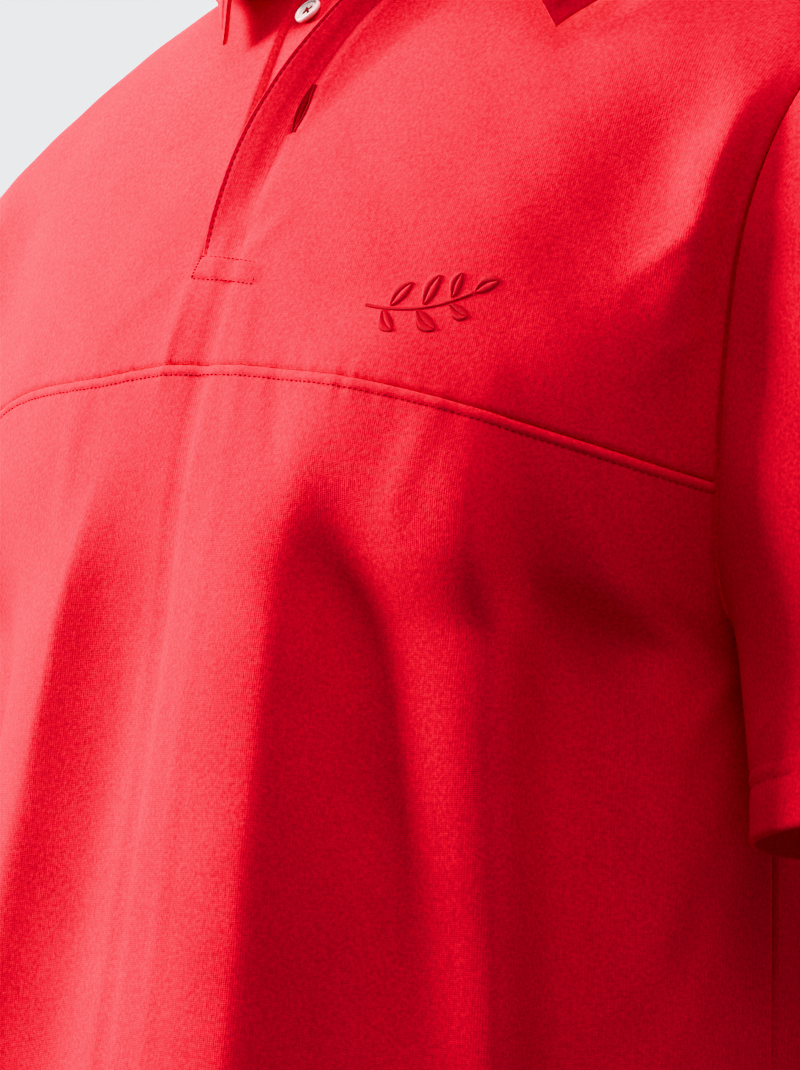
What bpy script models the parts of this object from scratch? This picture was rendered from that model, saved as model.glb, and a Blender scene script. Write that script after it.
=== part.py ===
"""A worn, oversized polo shirt, opened at the neck: every cut piece is a closed wall of cloth.

Units: metres, +Z up. The front faces -Y and the wearer's left is +X. The origin is the base of the
neck, level with the highest points of the shoulder seams.
"""
import math

import bmesh
import bpy
import numpy as np
from mathutils import Matrix, Vector

MM = 0.001

# ---- cloth and seams -------------------------------------------------------------------------------
CLOTH = 1.8 * MM            # heavy jersey
COLLAR_CLOTH = 2.2 * MM     # two layers, turned and pressed
SEAM_GAP = 0.3 * MM
HALF_GAP = SEAM_GAP / 2

# ---- the body of the shirt -------------------------------------------------------------------------
# One row for each section, from the front hem up over the shoulder ridge and down to the back hem (mm).
# centre: where the section crosses the centre line. edge: where it ends, at the side seam or armhole.
# square: 2 is an ellipse, and more is squarer. turn: how far it has turned where it ends (degrees).
#   name            centre y     z    edge x     y     z  square turn
SECTIONS = (
    ("front hem",       -150, -705,     216,    0, -705, 2.5, 90),
    ("front waist",     -147, -500,     204,    0, -500, 2.5, 90),
    ("front armpit",    -142, -340,     193,    0, -345, 2.6, 90),
    ("front underarm",  -140, -296,     196,  -38, -322, 2.6, 87),
    ("front chest",     -133, -231,     205,  -60, -271, 2.6, 82),
    ("placket end",     -125, -193,     210,  -67, -236, 2.6, 79),
    ("upper chest",     -104, -125,     222,  -74, -178, 2.5, 74),
    ("neck pit",         -78,  -64,     240,  -64, -128, 2.3, 66),
    ("collarbone",       -52,  -28,     251,  -42, -110, 2.1, 58),
    ("front roll",       -24,   -2,     255,  -16, -105, 2.0, 52),
    ("ridge",              5,    9,     256,    8, -104, 2.0, 50),
    ("back roll",         34,   12,     255,   32, -105, 2.0, 52),
    ("nape",              64,    4,     251,   56, -110, 2.1, 58),
    ("yoke",              92,  -44,     240,   72, -134, 2.3, 66),
    ("shoulder blade",   114, -130,     220,   80, -188, 2.4, 76),
    ("back chest",       120, -226,     205,   64, -266, 2.5, 82),
    ("back underarm",    120, -296,     196,   38, -322, 2.5, 87),
    ("back armpit",      120, -340,     193,    0, -345, 2.5, 90),
    ("back waist",       124, -500,     204,    0, -500, 2.4, 90),
    ("back hem",         134, -705,     216,    0, -705, 2.4, 90),
)
SHOULDER_DROP_POWER = 1.85  # how a section falls from the centre line to its edge
SIDE_DEPTH = 140 * MM       # from the side seam forward to the front of the body

# ---- seams, neckline and placket -------------------------------------------------------------------
CHEST_SEAM_DOWN = 292.8 * MM    # from the ridge, along the cloth
CHEST_SEAM_TILT = 6.2 * MM      # lower towards the wearer's left
CHEST_SEAM_SPREAD = 22.0        # degrees
CHEST_SEAM_RISE = 13 * MM       # drawn up at the wearer's right side
CHEST_SEAM_RISE_AT = (-16, 30)  # degrees: where it starts, and over how far
NECK_ANGLE = 27.0               # degrees from the centre line to the neck point of the shoulder seam
NECK_DEPTH_FRONT = 104 * MM
NECK_DEPTH_BACK = 62 * MM
NECK_ROUND = 2.2
PLACKET_ANGLE = -6.0            # the slit, 18 mm to the wearer's right of the centre line
PLACKET_DOWN = 243 * MM         # lower end of the slit, from the ridge

# The unbuttoned neck: how far each side of the slit is pulled away at the neck seam.
OVERLAP_PULL = 24.5         # degrees, towards the wearer's left
OVERLAP_PULL_POWER = 2.35
OVERLAP_LIFT = 18 * MM      # the overlap's edge stands off
UNDERLAP_PULL = -3.4        # degrees, towards the wearer's right
PULL_REACH = 62.0           # degrees of cloth that follow the pull
PULL_LIMIT = 1.15           # of the slit's length, for cloth that is higher than the slit
PULL_FADE = 1.2             # the pull dies out towards the ridge
LIFT_POWER = 0.8
LIFT_FALL = 1.4             # how it falls away from the edge
LIFT_REACH = (1.0, 24.0)    # degrees, at the slit's lower end and at its top

# ---- folds -----------------------------------------------------------------------------------------
# Soft ridges (height above 0) and troughs (below 0) that hang from the chest and the shoulder blades.
# angles: where the fold lies at its top and bottom (degrees, + to the wearer's left). downs: its top and
# bottom, along the cloth from the ridge (mm, the back is positive). widths: to the wearer's right and
# left of its crest (degrees). crest: 2 is round, and less is sharper. grow, fade: shares of its length.
#   name               angles       downs        widths      height crest grow  fade
FOLDS = (
    ("right chest",   -14.5, -32,   -310, -764,    9, 4.5,      7,  1.8, 0.20, 0.0),
    ("valley left of A", -1, -18,   -315, -764,    7,  8,      -6,  2.0, 0.25, 0.0),
    ("ridge A",          20,  19,   -245, -764,   18,  7,      14,  1.9, 0.35, 0.0),
    ("swell above them", 28,  31,   -255, -410,    9, 12,       6,  2.0, 0.30, 0.5),
    ("valley A to B",    22,  58,   -322, -764,    6,  6,      -8,  2.0, 0.15, 0.35),
    ("ridge B",        43.5, 52.0,  -265, -764,   10, 2.8,     13,  1.9, 0.20, 0.0),
    ("valley B to C",    50,  61,   -302, -764,    4, 10,      -9,  2.0, 0.25, 0.0),
    ("ridge C",          63,  72,   -285, -764,    7,  7,       6,  2.0, 0.30, 0.0),
    ("right valley",    -36, -52,   -318, -764,    8,  7,     -10,  2.0, 0.30, 0.0),
    ("right side",      -60, -69,   -300, -764,    9,  8,       7,  2.0, 0.30, 0.0),
    ("left shoulder",    80,  74,   -112, -290,    9,  5,       7,  1.8, 0.35, 0.5),
    ("right shoulder",  -80, -74,   -112, -290,    5,  9,       7,  1.8, 0.35, 0.5),
    ("left chest drag",  72,  46,   -112, -290,   10, 10,      -4,  2.0, 0.35, 0.5),
    ("right chest drag",-70, -44,   -112, -270,   10, 10,      -4,  2.0, 0.35, 0.5),
    ("back centre",       2,   3,    190,  764,   14, 12,      -8,  2.0, 0.35, 0.0),
    ("back left",        26,  30,    170,  764,    9, 11,       9,  1.8, 0.30, 0.0),
    ("back left trough", 44,  49,    185,  764,    9,  7,     -11,  2.0, 0.30, 0.0),
    ("back left side",   62,  66,    210,  764,    9,  9,       6,  2.0, 0.30, 0.0),
    ("back right",      -24, -29,    175,  764,   11,  9,       9,  1.8, 0.30, 0.0),
    ("back right trough",-43,-47,    195,  764,    7,  9,     -10,  2.0, 0.30, 0.0),
    ("back right side", -61, -66,    205,  764,    9,  9,       6,  2.0, 0.30, 0.0),
)
FOLDS_END_AT = 89.0         # degrees: the side seams and armholes carry no folds
FOLD_EDGE = 8.0             # degrees over which folds die out there

# ---- sleeves (the wearer's left, mirrored for the right) ---------------------------------------------
# One row for each rib, from the top of the armhole round to the armpit. around: share of the way.
# start: direction in which the cloth leaves the armhole. cuff: where the rib meets the hem (degrees).
#   name        around    start x     y      z    cuff
SLEEVE_RIBS = (
    ("top",       0.00,      0.72,  0.00, -0.69,    0),
    ("cap",       0.30,      0.82, -0.18, -0.54,   45),
    ("side",      0.55,      0.84, -0.10, -0.53,   88),
    ("low side",  0.80,      0.56, -0.10, -0.82,  132),
    ("armpit",    1.00,      0.16,  0.00, -0.99,  180),
)
CUFF_CENTRE = (270 * MM, -4 * MM, -402 * MM)
CUFF_RADIUS_SIDE = 65 * MM
CUFF_RADIUS_FRONT = 63 * MM
CUFF_SLOPE = 0.14           # the hem rises to the outside
ARM_DOWN = (0.10, -0.07, -0.99)
START_PULL = 0.85           # how far a rib follows its first direction, as a share of its length
END_PULL = 0.85
SLEEVE_ROWS = 7

# ---- collar ----------------------------------------------------------------------------------------
# One row for each station of one half, from the centre back to the front end. seam: share of the neck
# seam. stand: height of the inner stand. lean: how far the stand leans out of the neck. leaf: where the
# leaf's edge lies on the shirt (degrees, and mm down from the ridge: front negative).
#   name             seam  stand  lean    right leaf     left leaf
COLLAR_STATIONS = (
    ("centre back",  0.00,    34,    2,      0,  104,      0,  104),
    ("back",         0.20,    34,    2,    -19,   96,     19,   96),
    ("neck side",    0.42,    33,    3,    -40,   26,     40,   26),
    ("front side",   0.62,    31,    6,    -34,  -58,     47,  -52),
    ("towards tip",  0.82,    27,   10,    -21, -108,     48, -106),
    ("tip",          1.00,    22,   14,    -16, -134,   41.5, -138),
)
ROLL = 4.5 * MM             # radius of the fold at the collar's top
LEAF_CLEAR = 5.5 * MM       # the leaf's edge lies this far off the shirt
LEAF_BULGE = 11 * MM
LEAF_BULGE_RISE = 0.8       # the bulge goes up as well as out
COLLAR_COLUMNS = 38
COLLAR_ROWS = (0, 0.17, 0.34, 0.42, 0.5, 0.58, 0.72, 0.86, 1.0)
COLLAR_ROW_KNOTS = (0, 1.7, 2.2, 2.7, 3.9, 5.2)     # foot, inner, crest, outer, middle and edge
NECK_SIDE_SHARE = 0.42      # of the way from the centre back to the front end
COLLAR_ENDS = (-2.0, 0.0)   # degrees, on the button stand and on the centre line of the overlap
NECK_AXIS = (0, 5 * MM, 0)
FOOT_RISE = 0.5             # mm
FOOT_CLEAR = 1.6 * MM       # in from the neck seam, whose straight facets bow inwards

# ---- button stand and buttons ------------------------------------------------------------------------
UNDERLAP_WIDTH = 26 * MM
UNDERLAP_TUCK = 5 * MM      # goes behind the wearer's right front
UNDERLAP_END = 256 * MM     # down from the ridge
UNDERLAP_CLOTH = 1.4 * MM
UNDERLAP_CLEAR = 0.7 * MM   # below the inside of the front
ACROSS_ONE_DEGREE = 3.2 * MM  # of the cloth by the centre line
#   name             from the slit  down from the ridge
BUTTONS = (
    ("button_top",       11 * MM,      121 * MM),
    ("button_second",    16 * MM,      180 * MM),
)
BUTTON_RADIUS = 6.35 * MM
BUTTON_THICKNESS = 2.8 * MM
BUTTON_RIM = 1.3 * MM       # width of the raised rim
BUTTON_ROUND = 0.5 * MM     # its outer edges
BUTTON_DISH = 0.7 * MM      # depth of the dish inside it
BUTTON_HOLE = 0.8 * MM      # radius
BUTTON_HOLE_SPACING = 1.45 * MM
BUTTON_STANDOFF = 0.35 * MM
BUTTON_SIDES = 20

SCARLET = (0.62, 0.012, 0.02, 1)
PEARL = (0.86, 0.82, 0.80, 1)


# ---- the body form ---------------------------------------------------------------------------------
NAMES = [row[0] for row in SECTIONS]
SHAPES = np.array([row[1:] for row in SECTIONS], float) * (MM, MM, MM, MM, MM, 1, 1)


def section_downs():
    """Length of cloth from the ridge to each section, negative at the front."""
    steps = np.hypot(np.diff(SHAPES[:, 0]), np.diff(SHAPES[:, 1]))
    level = np.abs(np.diff(SHAPES[:, 1]))
    below = [i < NAMES.index("front underarm") or i >= NAMES.index("back underarm")
             for i in range(len(steps))]
    downs = np.concatenate([[0], np.cumsum(np.where(below, level, steps))])
    return downs - downs[NAMES.index("ridge")]


DOWNS = section_downs()
HEM_FRONT = DOWNS[0]
HEM_BACK = DOWNS[-1]
ARMPIT_FRONT = DOWNS[NAMES.index("front armpit")]
ARMPIT_BACK = DOWNS[NAMES.index("back armpit")]


def smooth_rows(knots, rows, at):
    """Rows joined by smooth curves that never swing past a row, read at the given knots."""
    at = np.clip(np.asarray(at, float), knots[0], knots[-1])
    length = np.diff(knots)[:, None]
    slope = np.diff(rows, axis=0) / length
    tangent = np.empty_like(rows)
    tangent[0] = slope[0]
    tangent[-1] = slope[-1]
    mean = (slope[:-1] * length[1:] + slope[1:] * length[:-1]) / (length[1:] + length[:-1])
    tangent[1:-1] = np.where(slope[:-1] * slope[1:] > 0, mean, 0)
    i = np.clip(np.searchsorted(knots, at, side="right") - 1, 0, len(knots) - 2)
    step = length[i, 0]
    t = ((at - knots[i]) / step)[..., None]
    step = step[..., None]
    return ((2 * t**3 - 3 * t**2 + 1) * rows[i] + (t**3 - 2 * t**2 + t) * step * tangent[i]
            + (3 * t**2 - 2 * t**3) * rows[i + 1] + (t**3 - t**2) * step * tangent[i + 1])


def section_turn(turn, square):
    """Sideways and forward share of a rounded section, turned so far (degrees)."""
    turn = np.radians(turn)
    sine = np.sin(turn)
    cosine = np.cos(turn).clip(1e-9)
    reach = (sine**square + cosine**square) ** (-1 / square)
    return sine * reach, cosine * reach


def body_point(angle, down):
    """Point of the smooth body form. angle: degrees from the centre line, + to the wearer's left."""
    angle, down = np.broadcast_arrays(np.asarray(angle, float), np.asarray(down, float))
    shape = np.moveaxis(smooth_rows(DOWNS, SHAPES, down), -1, 0)
    centre_y, centre_z, edge_x, edge_y, edge_z, square, turn = shape
    out, front = section_turn(np.abs(angle) / 90 * turn, square)
    last_out, last_front = section_turn(turn, square)
    out = out / last_out
    front = (front - last_front) / (1 - last_front)
    return np.stack([
        edge_x * out * np.sign(angle),
        edge_y + (centre_y - edge_y) * front,
        centre_z + (edge_z - centre_z) * out**SHOULDER_DROP_POWER], -1)


def unit(vectors):
    return vectors / np.linalg.norm(vectors, axis=-1, keepdims=True)


def body_normal(angle, down):
    """Outward direction of the body form."""
    angle = np.clip(np.asarray(angle, float), -89.4, 89.4)
    across = body_point(angle + 0.5, down) - body_point(angle - 0.5, down)
    along = body_point(angle, np.asarray(down) + 2 * MM) - body_point(angle, np.asarray(down) - 2 * MM)
    return unit(np.cross(across, along))


def smooth_step(t):
    t = np.clip(t, 0, 1)
    return t * t * (3 - 2 * t)


def fold_height(angle, down):
    """Height of the cloth's folds over the body form."""
    total = np.zeros(np.broadcast(angle, down).shape)
    for _, top, bottom, start, end, right, left, height, crest, grow, fade in FOLDS:
        share = (down - start * MM) / ((end - start) * MM)
        off = angle - (top + (bottom - top) * np.clip(share, 0, 1))
        width = np.where(off < 0, right, left)
        strength = smooth_step(share / grow)
        if fade:
            strength = strength * smooth_step((1 - share) / fade)
        total += height * MM * strength * np.exp(-np.abs(off / width) ** crest)
    return total * smooth_step((FOLDS_END_AT - np.abs(angle)) / FOLD_EDGE)


# ---- the open neck -----------------------------------------------------------------------------------
def neck_down(angle, depth):
    """Where the neck seam crosses the form at this angle, as a length down from the ridge."""
    share = np.clip(np.abs(angle) / NECK_ANGLE, 0, 1)
    return depth * np.sqrt(1 - share**NECK_ROUND)


def opened(angle, down, side):
    """Angle and lift of the front once its placket is pulled open. side: -1 or +1 of the slit."""
    start = neck_down(PLACKET_ANGLE, NECK_DEPTH_FRONT)
    share = np.clip((PLACKET_DOWN + down) / (PLACKET_DOWN - start), 0, PULL_LIMIT)
    from_slit = np.abs(angle - PLACKET_ANGLE)
    follow = np.clip(1 - from_slit / PULL_REACH, 0, 1) ** 2
    near_ridge = smooth_step(-down / start * PULL_FADE)
    left_pull = OVERLAP_PULL * share**OVERLAP_PULL_POWER
    right_pull = UNDERLAP_PULL * share**2
    pull = np.where(side > 0, left_pull, right_pull) * follow * near_ridge
    reach = LIFT_REACH[0] + (LIFT_REACH[1] - LIFT_REACH[0]) * share
    fall = np.clip(1 - from_slit / reach, 0, 1) ** LIFT_FALL
    lift = OVERLAP_LIFT * share**LIFT_POWER * fall * near_ridge
    return angle + pull, np.where(side > 0, lift, 0)


def front_point(angle, down, depth=0.0, side=None):
    """Point of the front's cloth at a depth below its outer face. side: -1 or +1 of the slit."""
    if side is None:
        side = np.sign(angle - PLACKET_ANGLE)
    moved, lift = opened(angle, down, side)
    height = fold_height(moved, down) + lift - depth
    return body_point(moved, down) + body_normal(moved, down) * height[..., None]


def back_point(angle, down, depth=0.0):
    height = fold_height(angle, down) - depth
    return body_point(angle, down) + body_normal(angle, down) * height[..., None]


# ---- building closed walls ---------------------------------------------------------------------------
def panel(name, across, along, place, material, thickness=CLOTH, closed_round=False, slit=None):
    """A wall of cloth over a grid of stations. place(across, along, depth, side) gives its points.

    closed_round joins the first and last columns. slit is (column, rows): the grid is cut open along
    that column over its first rows.
    """
    columns = len(across) - 1
    rows = len(along) - 1
    bm = bmesh.new()
    bmesh.ops.create_grid(bm, x_segments=columns, y_segments=rows, size=0.5)
    column_of = bm.verts.layers.int.new("column")
    row_of = bm.verts.layers.int.new("row")
    side_of = bm.verts.layers.int.new("side")
    for vert in bm.verts:
        vert[column_of] = round((vert.co.x + 0.5) * columns)
        vert[row_of] = round((vert.co.y + 0.5) * rows)
        vert[side_of] = 0
    if slit:
        cut_slit(bm, column_of, row_of, side_of, *slit)

    def move(verts, depth):
        i = np.array([vert[column_of] for vert in verts])
        j = np.array([vert[row_of] for vert in verts])
        side = np.array([vert[side_of] for vert in verts])
        for vert, point in zip(verts, place(across[i], along[j], depth, side)):
            vert.co = point

    outer = list(bm.verts)
    move(outer, 0.0)
    if closed_round:
        seam = [vert for vert in bm.verts if vert[column_of] in (0, columns)]
        bmesh.ops.remove_doubles(bm, verts=seam, dist=1e-5)
    made = bmesh.ops.extrude_face_region(bm, geom=bm.faces[:], use_keep_orig=True)
    inner = [item for item in made["geom"] if isinstance(item, bmesh.types.BMVert)]
    move(inner, thickness)
    bmesh.ops.recalc_face_normals(bm, faces=bm.faces[:])
    return add_object(name, bm, material)


def cut_slit(bm, column_of, row_of, side_of, column, rows):
    """Cut the grid open along a column, and note which side of it each vertex is on."""
    edges = [edge for edge in bm.edges
             if all(vert[column_of] == column and vert[row_of] <= rows for vert in edge.verts)]
    bmesh.ops.split_edges(bm, edges=edges)
    middle = {}
    for vert in bm.verts:
        middle[vert] = sum(face.calc_center_median().x for face in vert.link_faces) / len(vert.link_faces)
    slit_x = next(vert.co.x for vert in bm.verts if vert[column_of] == column)
    for vert in bm.verts:
        vert[side_of] = 1 if middle[vert] > slit_x else -1


def add_object(name, bm, material):
    mesh = bpy.data.meshes.new(name)
    bm.to_mesh(mesh)
    bm.free()
    mesh.materials.append(material)
    obj = bpy.data.objects.new(name, mesh)
    shirt_collection().objects.link(obj)
    return obj


def shirt_collection():
    found = bpy.data.collections.get("polo_shirt")
    if not found:
        found = bpy.data.collections.new("polo_shirt")
        bpy.context.scene.collection.children.link(found)
    return found


def principled(name, colour, roughness):
    material = bpy.data.materials.new(name)
    material.use_nodes = True
    shader = material.node_tree.nodes["Principled BSDF"]
    shader.inputs["Base Color"].default_value = colour
    shader.inputs["Roughness"].default_value = roughness
    shader.inputs["Metallic"].default_value = 0.0
    material.diffuse_color = colour
    return material


# ---- stations ----------------------------------------------------------------------------------------
def neck_angles(count):
    """Angles from the centre line to the neck point, closer together where the seam is steep."""
    turns = np.linspace(0, math.pi / 2, count + 1)
    return NECK_ANGLE * np.sin(turns) ** (2 / NECK_ROUND)


SIDE_ANGLE = 90 - math.degrees(HALF_GAP / SIDE_DEPTH)
FRONT_ANGLES = np.concatenate([
    np.linspace(-SIDE_ANGLE, -NECK_ANGLE, 12)[:-1],
    -neck_angles(6)[:1:-1],
    [PLACKET_ANGLE],
    [0],
    neck_angles(6)[1:],
    np.linspace(NECK_ANGLE, SIDE_ANGLE, 16)[1:]])
BACK_ANGLES = np.concatenate([
    np.linspace(-SIDE_ANGLE, -NECK_ANGLE, 9)[:-1],
    -neck_angles(4)[::-1],
    neck_angles(4)[1:],
    np.linspace(NECK_ANGLE, SIDE_ANGLE, 9)[1:]])


def chest_seam_down(angle):
    start, spread = CHEST_SEAM_RISE_AT
    rise = CHEST_SEAM_RISE * smooth_step((start - angle) / spread)
    return rise - CHEST_SEAM_DOWN - CHEST_SEAM_TILT * np.tanh(angle / CHEST_SEAM_SPREAD)


SLIT_SHARE = float((PLACKET_DOWN - neck_down(PLACKET_ANGLE, NECK_DEPTH_FRONT))
                   / (-chest_seam_down(PLACKET_ANGLE) - neck_down(PLACKET_ANGLE, NECK_DEPTH_FRONT)))
SLIT_ROWS = 10
UPPER_SHARES = np.concatenate([np.linspace(0, SLIT_SHARE, SLIT_ROWS + 1), np.linspace(SLIT_SHARE, 1, 4)[1:]])
LOWER_TO_ARMPIT = float((chest_seam_down(90) - ARMPIT_FRONT) / (chest_seam_down(90) - HEM_FRONT))
LOWER_SHARES = np.concatenate([np.linspace(0, LOWER_TO_ARMPIT, 5), np.linspace(LOWER_TO_ARMPIT, 1, 9)[1:]])
BACK_TO_ARMPIT = ARMPIT_BACK / HEM_BACK
BACK_SHARES = np.concatenate([np.linspace(0, BACK_TO_ARMPIT, 13), np.linspace(BACK_TO_ARMPIT, 1, 9)[1:]])


def upper_down(angle, share):
    """Down from the ridge on the upper front: share 0 at its top edge, 1 at the chest seam."""
    top = -neck_down(angle, NECK_DEPTH_FRONT) - HALF_GAP
    bottom = chest_seam_down(angle) + HALF_GAP
    return top + (bottom - top) * share


def lower_down(angle, share):
    """The same on the lower front, from the chest seam past the armpit's level to the hem."""
    top = chest_seam_down(angle) - HALF_GAP
    above = share / LOWER_TO_ARMPIT
    below = (share - LOWER_TO_ARMPIT) / (1 - LOWER_TO_ARMPIT)
    return np.where(above < 1, top + (ARMPIT_FRONT - top) * above,
                    ARMPIT_FRONT + (HEM_FRONT - ARMPIT_FRONT) * below)


def back_down(angle, share):
    top = neck_down(angle, NECK_DEPTH_BACK) + HALF_GAP
    return top + (HEM_BACK - top) * share


# ---- the pieces --------------------------------------------------------------------------------------
def front_upper(material):
    def place(angle, share, depth, side):
        return front_point(angle, upper_down(angle, share), depth, side)
    slit_column = int(np.argmin(np.abs(FRONT_ANGLES - PLACKET_ANGLE)))
    return panel("front_upper", FRONT_ANGLES, UPPER_SHARES, place, material, slit=(slit_column, SLIT_ROWS))


def front_lower(material):
    def place(angle, share, depth, side):
        return front_point(angle, lower_down(angle, share), depth)
    return panel("front_lower", FRONT_ANGLES, LOWER_SHARES, place, material)


def back(material):
    def place(angle, share, depth, side):
        return back_point(angle, back_down(angle, share), depth)
    return panel("back", BACK_ANGLES, BACK_SHARES, place, material)


def armhole(around, side):
    """Armhole ring of one side (+1 or -1). around: -1 the armpit, over the front, 0 the top, 1 the armpit."""
    down = np.where(around < 0, -around * ARMPIT_FRONT, around * ARMPIT_BACK)
    return body_point(90 * side, down)


def sleeve_around():
    """Stations round the armhole, the same as the rows of the panels that it is sewn to."""
    upper = chest_seam_down(90) * UPPER_SHARES
    lower = lower_down(90, LOWER_SHARES[LOWER_SHARES <= LOWER_TO_ARMPIT])
    behind = HEM_BACK * BACK_SHARES[BACK_SHARES <= BACK_TO_ARMPIT]
    in_front = np.concatenate([lower[:0:-1], upper[::-1]]) / -ARMPIT_FRONT
    return np.concatenate([in_front, behind[1:] / ARMPIT_BACK])


def sleeve_point(around, along, side):
    """Point of a sleeve: around its ring, and along each rib from the armhole (0) to the hem (1)."""
    columns = np.array([rib[1:] for rib in SLEEVE_RIBS], float)
    x, y, z, cuff = np.moveaxis(smooth_rows(columns[:, 0], columns[:, 1:], np.abs(around)), -1, 0)
    front = np.where(around > 0, -1, 1)
    start = unit(np.stack([x * side, y * front, z], -1))
    turn = np.radians(cuff) * -front
    end = np.stack([
        side * (CUFF_CENTRE[0] + CUFF_RADIUS_SIDE * np.cos(turn)),
        CUFF_CENTRE[1] + CUFF_RADIUS_FRONT * np.sin(turn),
        CUFF_CENTRE[2] + CUFF_RADIUS_SIDE * np.cos(turn) * CUFF_SLOPE], -1)
    first = armhole(around, side) + start * SEAM_GAP
    length = np.linalg.norm(end - first, axis=-1, keepdims=True)
    leave = start * length * START_PULL
    arrive = unit(np.array([ARM_DOWN[0] * side, *ARM_DOWN[1:]])) * length * END_PULL
    t = np.asarray(along, float)[..., None]
    return ((2 * t**3 - 3 * t**2 + 1) * first + (t**3 - 2 * t**2 + t) * leave
            + (3 * t**2 - 2 * t**3) * end + (t**3 - t**2) * arrive)


def sleeve_normal(around, along, side):
    step = 0.004
    along = np.clip(along, 0.02, 0.98)
    ahead = (around + step + 1) % 2 - 1
    behind = (around - step + 1) % 2 - 1
    across = sleeve_point(ahead, along, side) - sleeve_point(behind, along, side)
    down = sleeve_point(around, along + step, side) - sleeve_point(around, along - step, side)
    return unit(np.cross(down, across)) * side


def sleeve(name, side, material):
    def place(around, along, depth, _):
        return sleeve_point(around, along, side) - sleeve_normal(around, along, side) * depth
    around = sleeve_around()
    return panel(name, around, np.linspace(0, 1, SLEEVE_ROWS + 1), place, material, closed_round=True)


# ---- collar ------------------------------------------------------------------------------------------
def neck_seam(share, side):
    """Point of the neck seam of one side. share: 0 at the centre back, 1 at the collar's front end."""
    on_back = share < NECK_SIDE_SHARE
    end_angle = COLLAR_ENDS[0] if side < 0 else COLLAR_ENDS[1]
    end_turn = math.asin((abs(end_angle) / NECK_ANGLE) ** (NECK_ROUND / 2))
    front_share = (share - NECK_SIDE_SHARE) / (1 - NECK_SIDE_SHARE)
    turn = np.where(on_back, share / NECK_SIDE_SHARE * math.pi / 2,
                    math.pi / 2 - front_share * (math.pi / 2 - end_turn))
    angle = side * NECK_ANGLE * np.sin(turn) ** (2 / NECK_ROUND)
    back_seam = back_point(angle, neck_down(angle, NECK_DEPTH_BACK))
    front_seam = front_point(angle, -neck_down(angle, NECK_DEPTH_FRONT), 0.0, side)
    return np.where(on_back[..., None], back_seam, front_seam)


def collar_point(station, row):
    """Point of the collar's visible face. station: -1 the wearer's right end, 0 the back, 1 the left end.

    row: 0 the foot of the stand, inside the neck, to 1 the edge of the leaf.
    """
    station, row = np.broadcast_arrays(np.asarray(station, float), np.asarray(row, float))
    share = np.abs(station)
    left = (station > 0)[..., None]
    table = np.array([line[1:] for line in COLLAR_STATIONS], float)
    stand, lean, right_angle, right_down, left_angle, left_down = np.moveaxis(
        smooth_rows(table[:, 0], table[:, 1:], share), -1, 0)
    seam = np.where(left, neck_seam(share, 1), neck_seam(share, -1))
    outward = seam - np.array(NECK_AXIS)
    outward[..., 2] = 0
    outward = unit(outward)
    up = np.array([0, 0, MM])
    high = stand[..., None]
    foot = seam - outward * (FOOT_CLEAR + COLLAR_CLOTH) + up * FOOT_RISE
    top = seam + outward * (lean[..., None] * MM - COLLAR_CLOTH) + up * high
    inner = top - up * ROLL / MM
    crest = top + outward * ROLL
    outer = inner + outward * 2 * ROLL
    leaf_angle = np.where(station > 0, left_angle, right_angle)
    leaf_down = np.where(station > 0, left_down, right_down) * MM
    edge = body_point(leaf_angle, leaf_down) + body_normal(leaf_angle, leaf_down) * LEAF_CLEAR
    middle = (outer + edge) / 2 + unit(outward + up / MM * LEAF_BULGE_RISE) * LEAF_BULGE
    knots = np.array(COLLAR_ROW_KNOTS)
    at = row * knots[-1]
    points = np.stack([foot, inner, crest, outer, middle, edge], -2)
    flat = points.reshape(-1, 6, 3)
    read = [smooth_through(knots, section, where) for section, where in zip(flat, at.reshape(-1))]
    return np.array(read).reshape(points.shape[:-2] + (3,))


def smooth_through(knots, points, at):
    """Point at one knot value of the smooth curve through a few points."""
    length = np.diff(knots)[:, None]
    slope = np.diff(points, axis=0) / length
    mean = (slope[:-1] * length[1:] + slope[1:] * length[:-1]) / (length[1:] + length[:-1])
    tangent = np.concatenate([slope[:1], mean, slope[-1:]])
    i = min(int(np.searchsorted(knots, at, side="right")) - 1, len(knots) - 2)
    t = (at - knots[i]) / length[i, 0]
    return ((2 * t**3 - 3 * t**2 + 1) * points[i] + (t**3 - 2 * t**2 + t) * length[i] * tangent[i]
            + (3 * t**2 - 2 * t**3) * points[i + 1] + (t**3 - t**2) * length[i] * tangent[i + 1])


def collar_normal(station, row):
    step = 0.01
    station_in = np.clip(station, -1 + step, 1 - step)
    row_in = np.clip(row, step, 1 - step)
    across = collar_point(station_in + step, row_in) - collar_point(station_in - step, row_in)
    along = collar_point(station_in, row_in + step) - collar_point(station_in, row_in - step)
    return unit(np.cross(along, across))


def collar(material):
    def place(station, row, depth, _):
        return collar_point(station, row) - collar_normal(station, row) * depth
    stations = np.linspace(-1, 1, COLLAR_COLUMNS + 1)
    return panel("collar", stations, np.array(COLLAR_ROWS), place, material, thickness=COLLAR_CLOTH)


# ---- button stand and buttons ------------------------------------------------------------------------
def underlap_point(across, down, depth):
    """Point of the button stand. across: metres from the slit towards the wearer's left."""
    angle = PLACKET_ANGLE + across / ACROSS_ONE_DEGREE
    return front_point(angle, down, CLOTH + UNDERLAP_CLEAR + depth, np.full(np.shape(angle), -1))


def placket_underlap(material):
    def place(across, share, depth, _):
        top = -neck_down(PLACKET_ANGLE, NECK_DEPTH_FRONT) - HALF_GAP
        return underlap_point(across, top + (-UNDERLAP_END - top) * share, depth)
    across = np.linspace(-UNDERLAP_TUCK, UNDERLAP_WIDTH, 7)
    return panel("placket_underlap", across, np.linspace(0, 1, 11), place, material, thickness=UNDERLAP_CLOTH)


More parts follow.
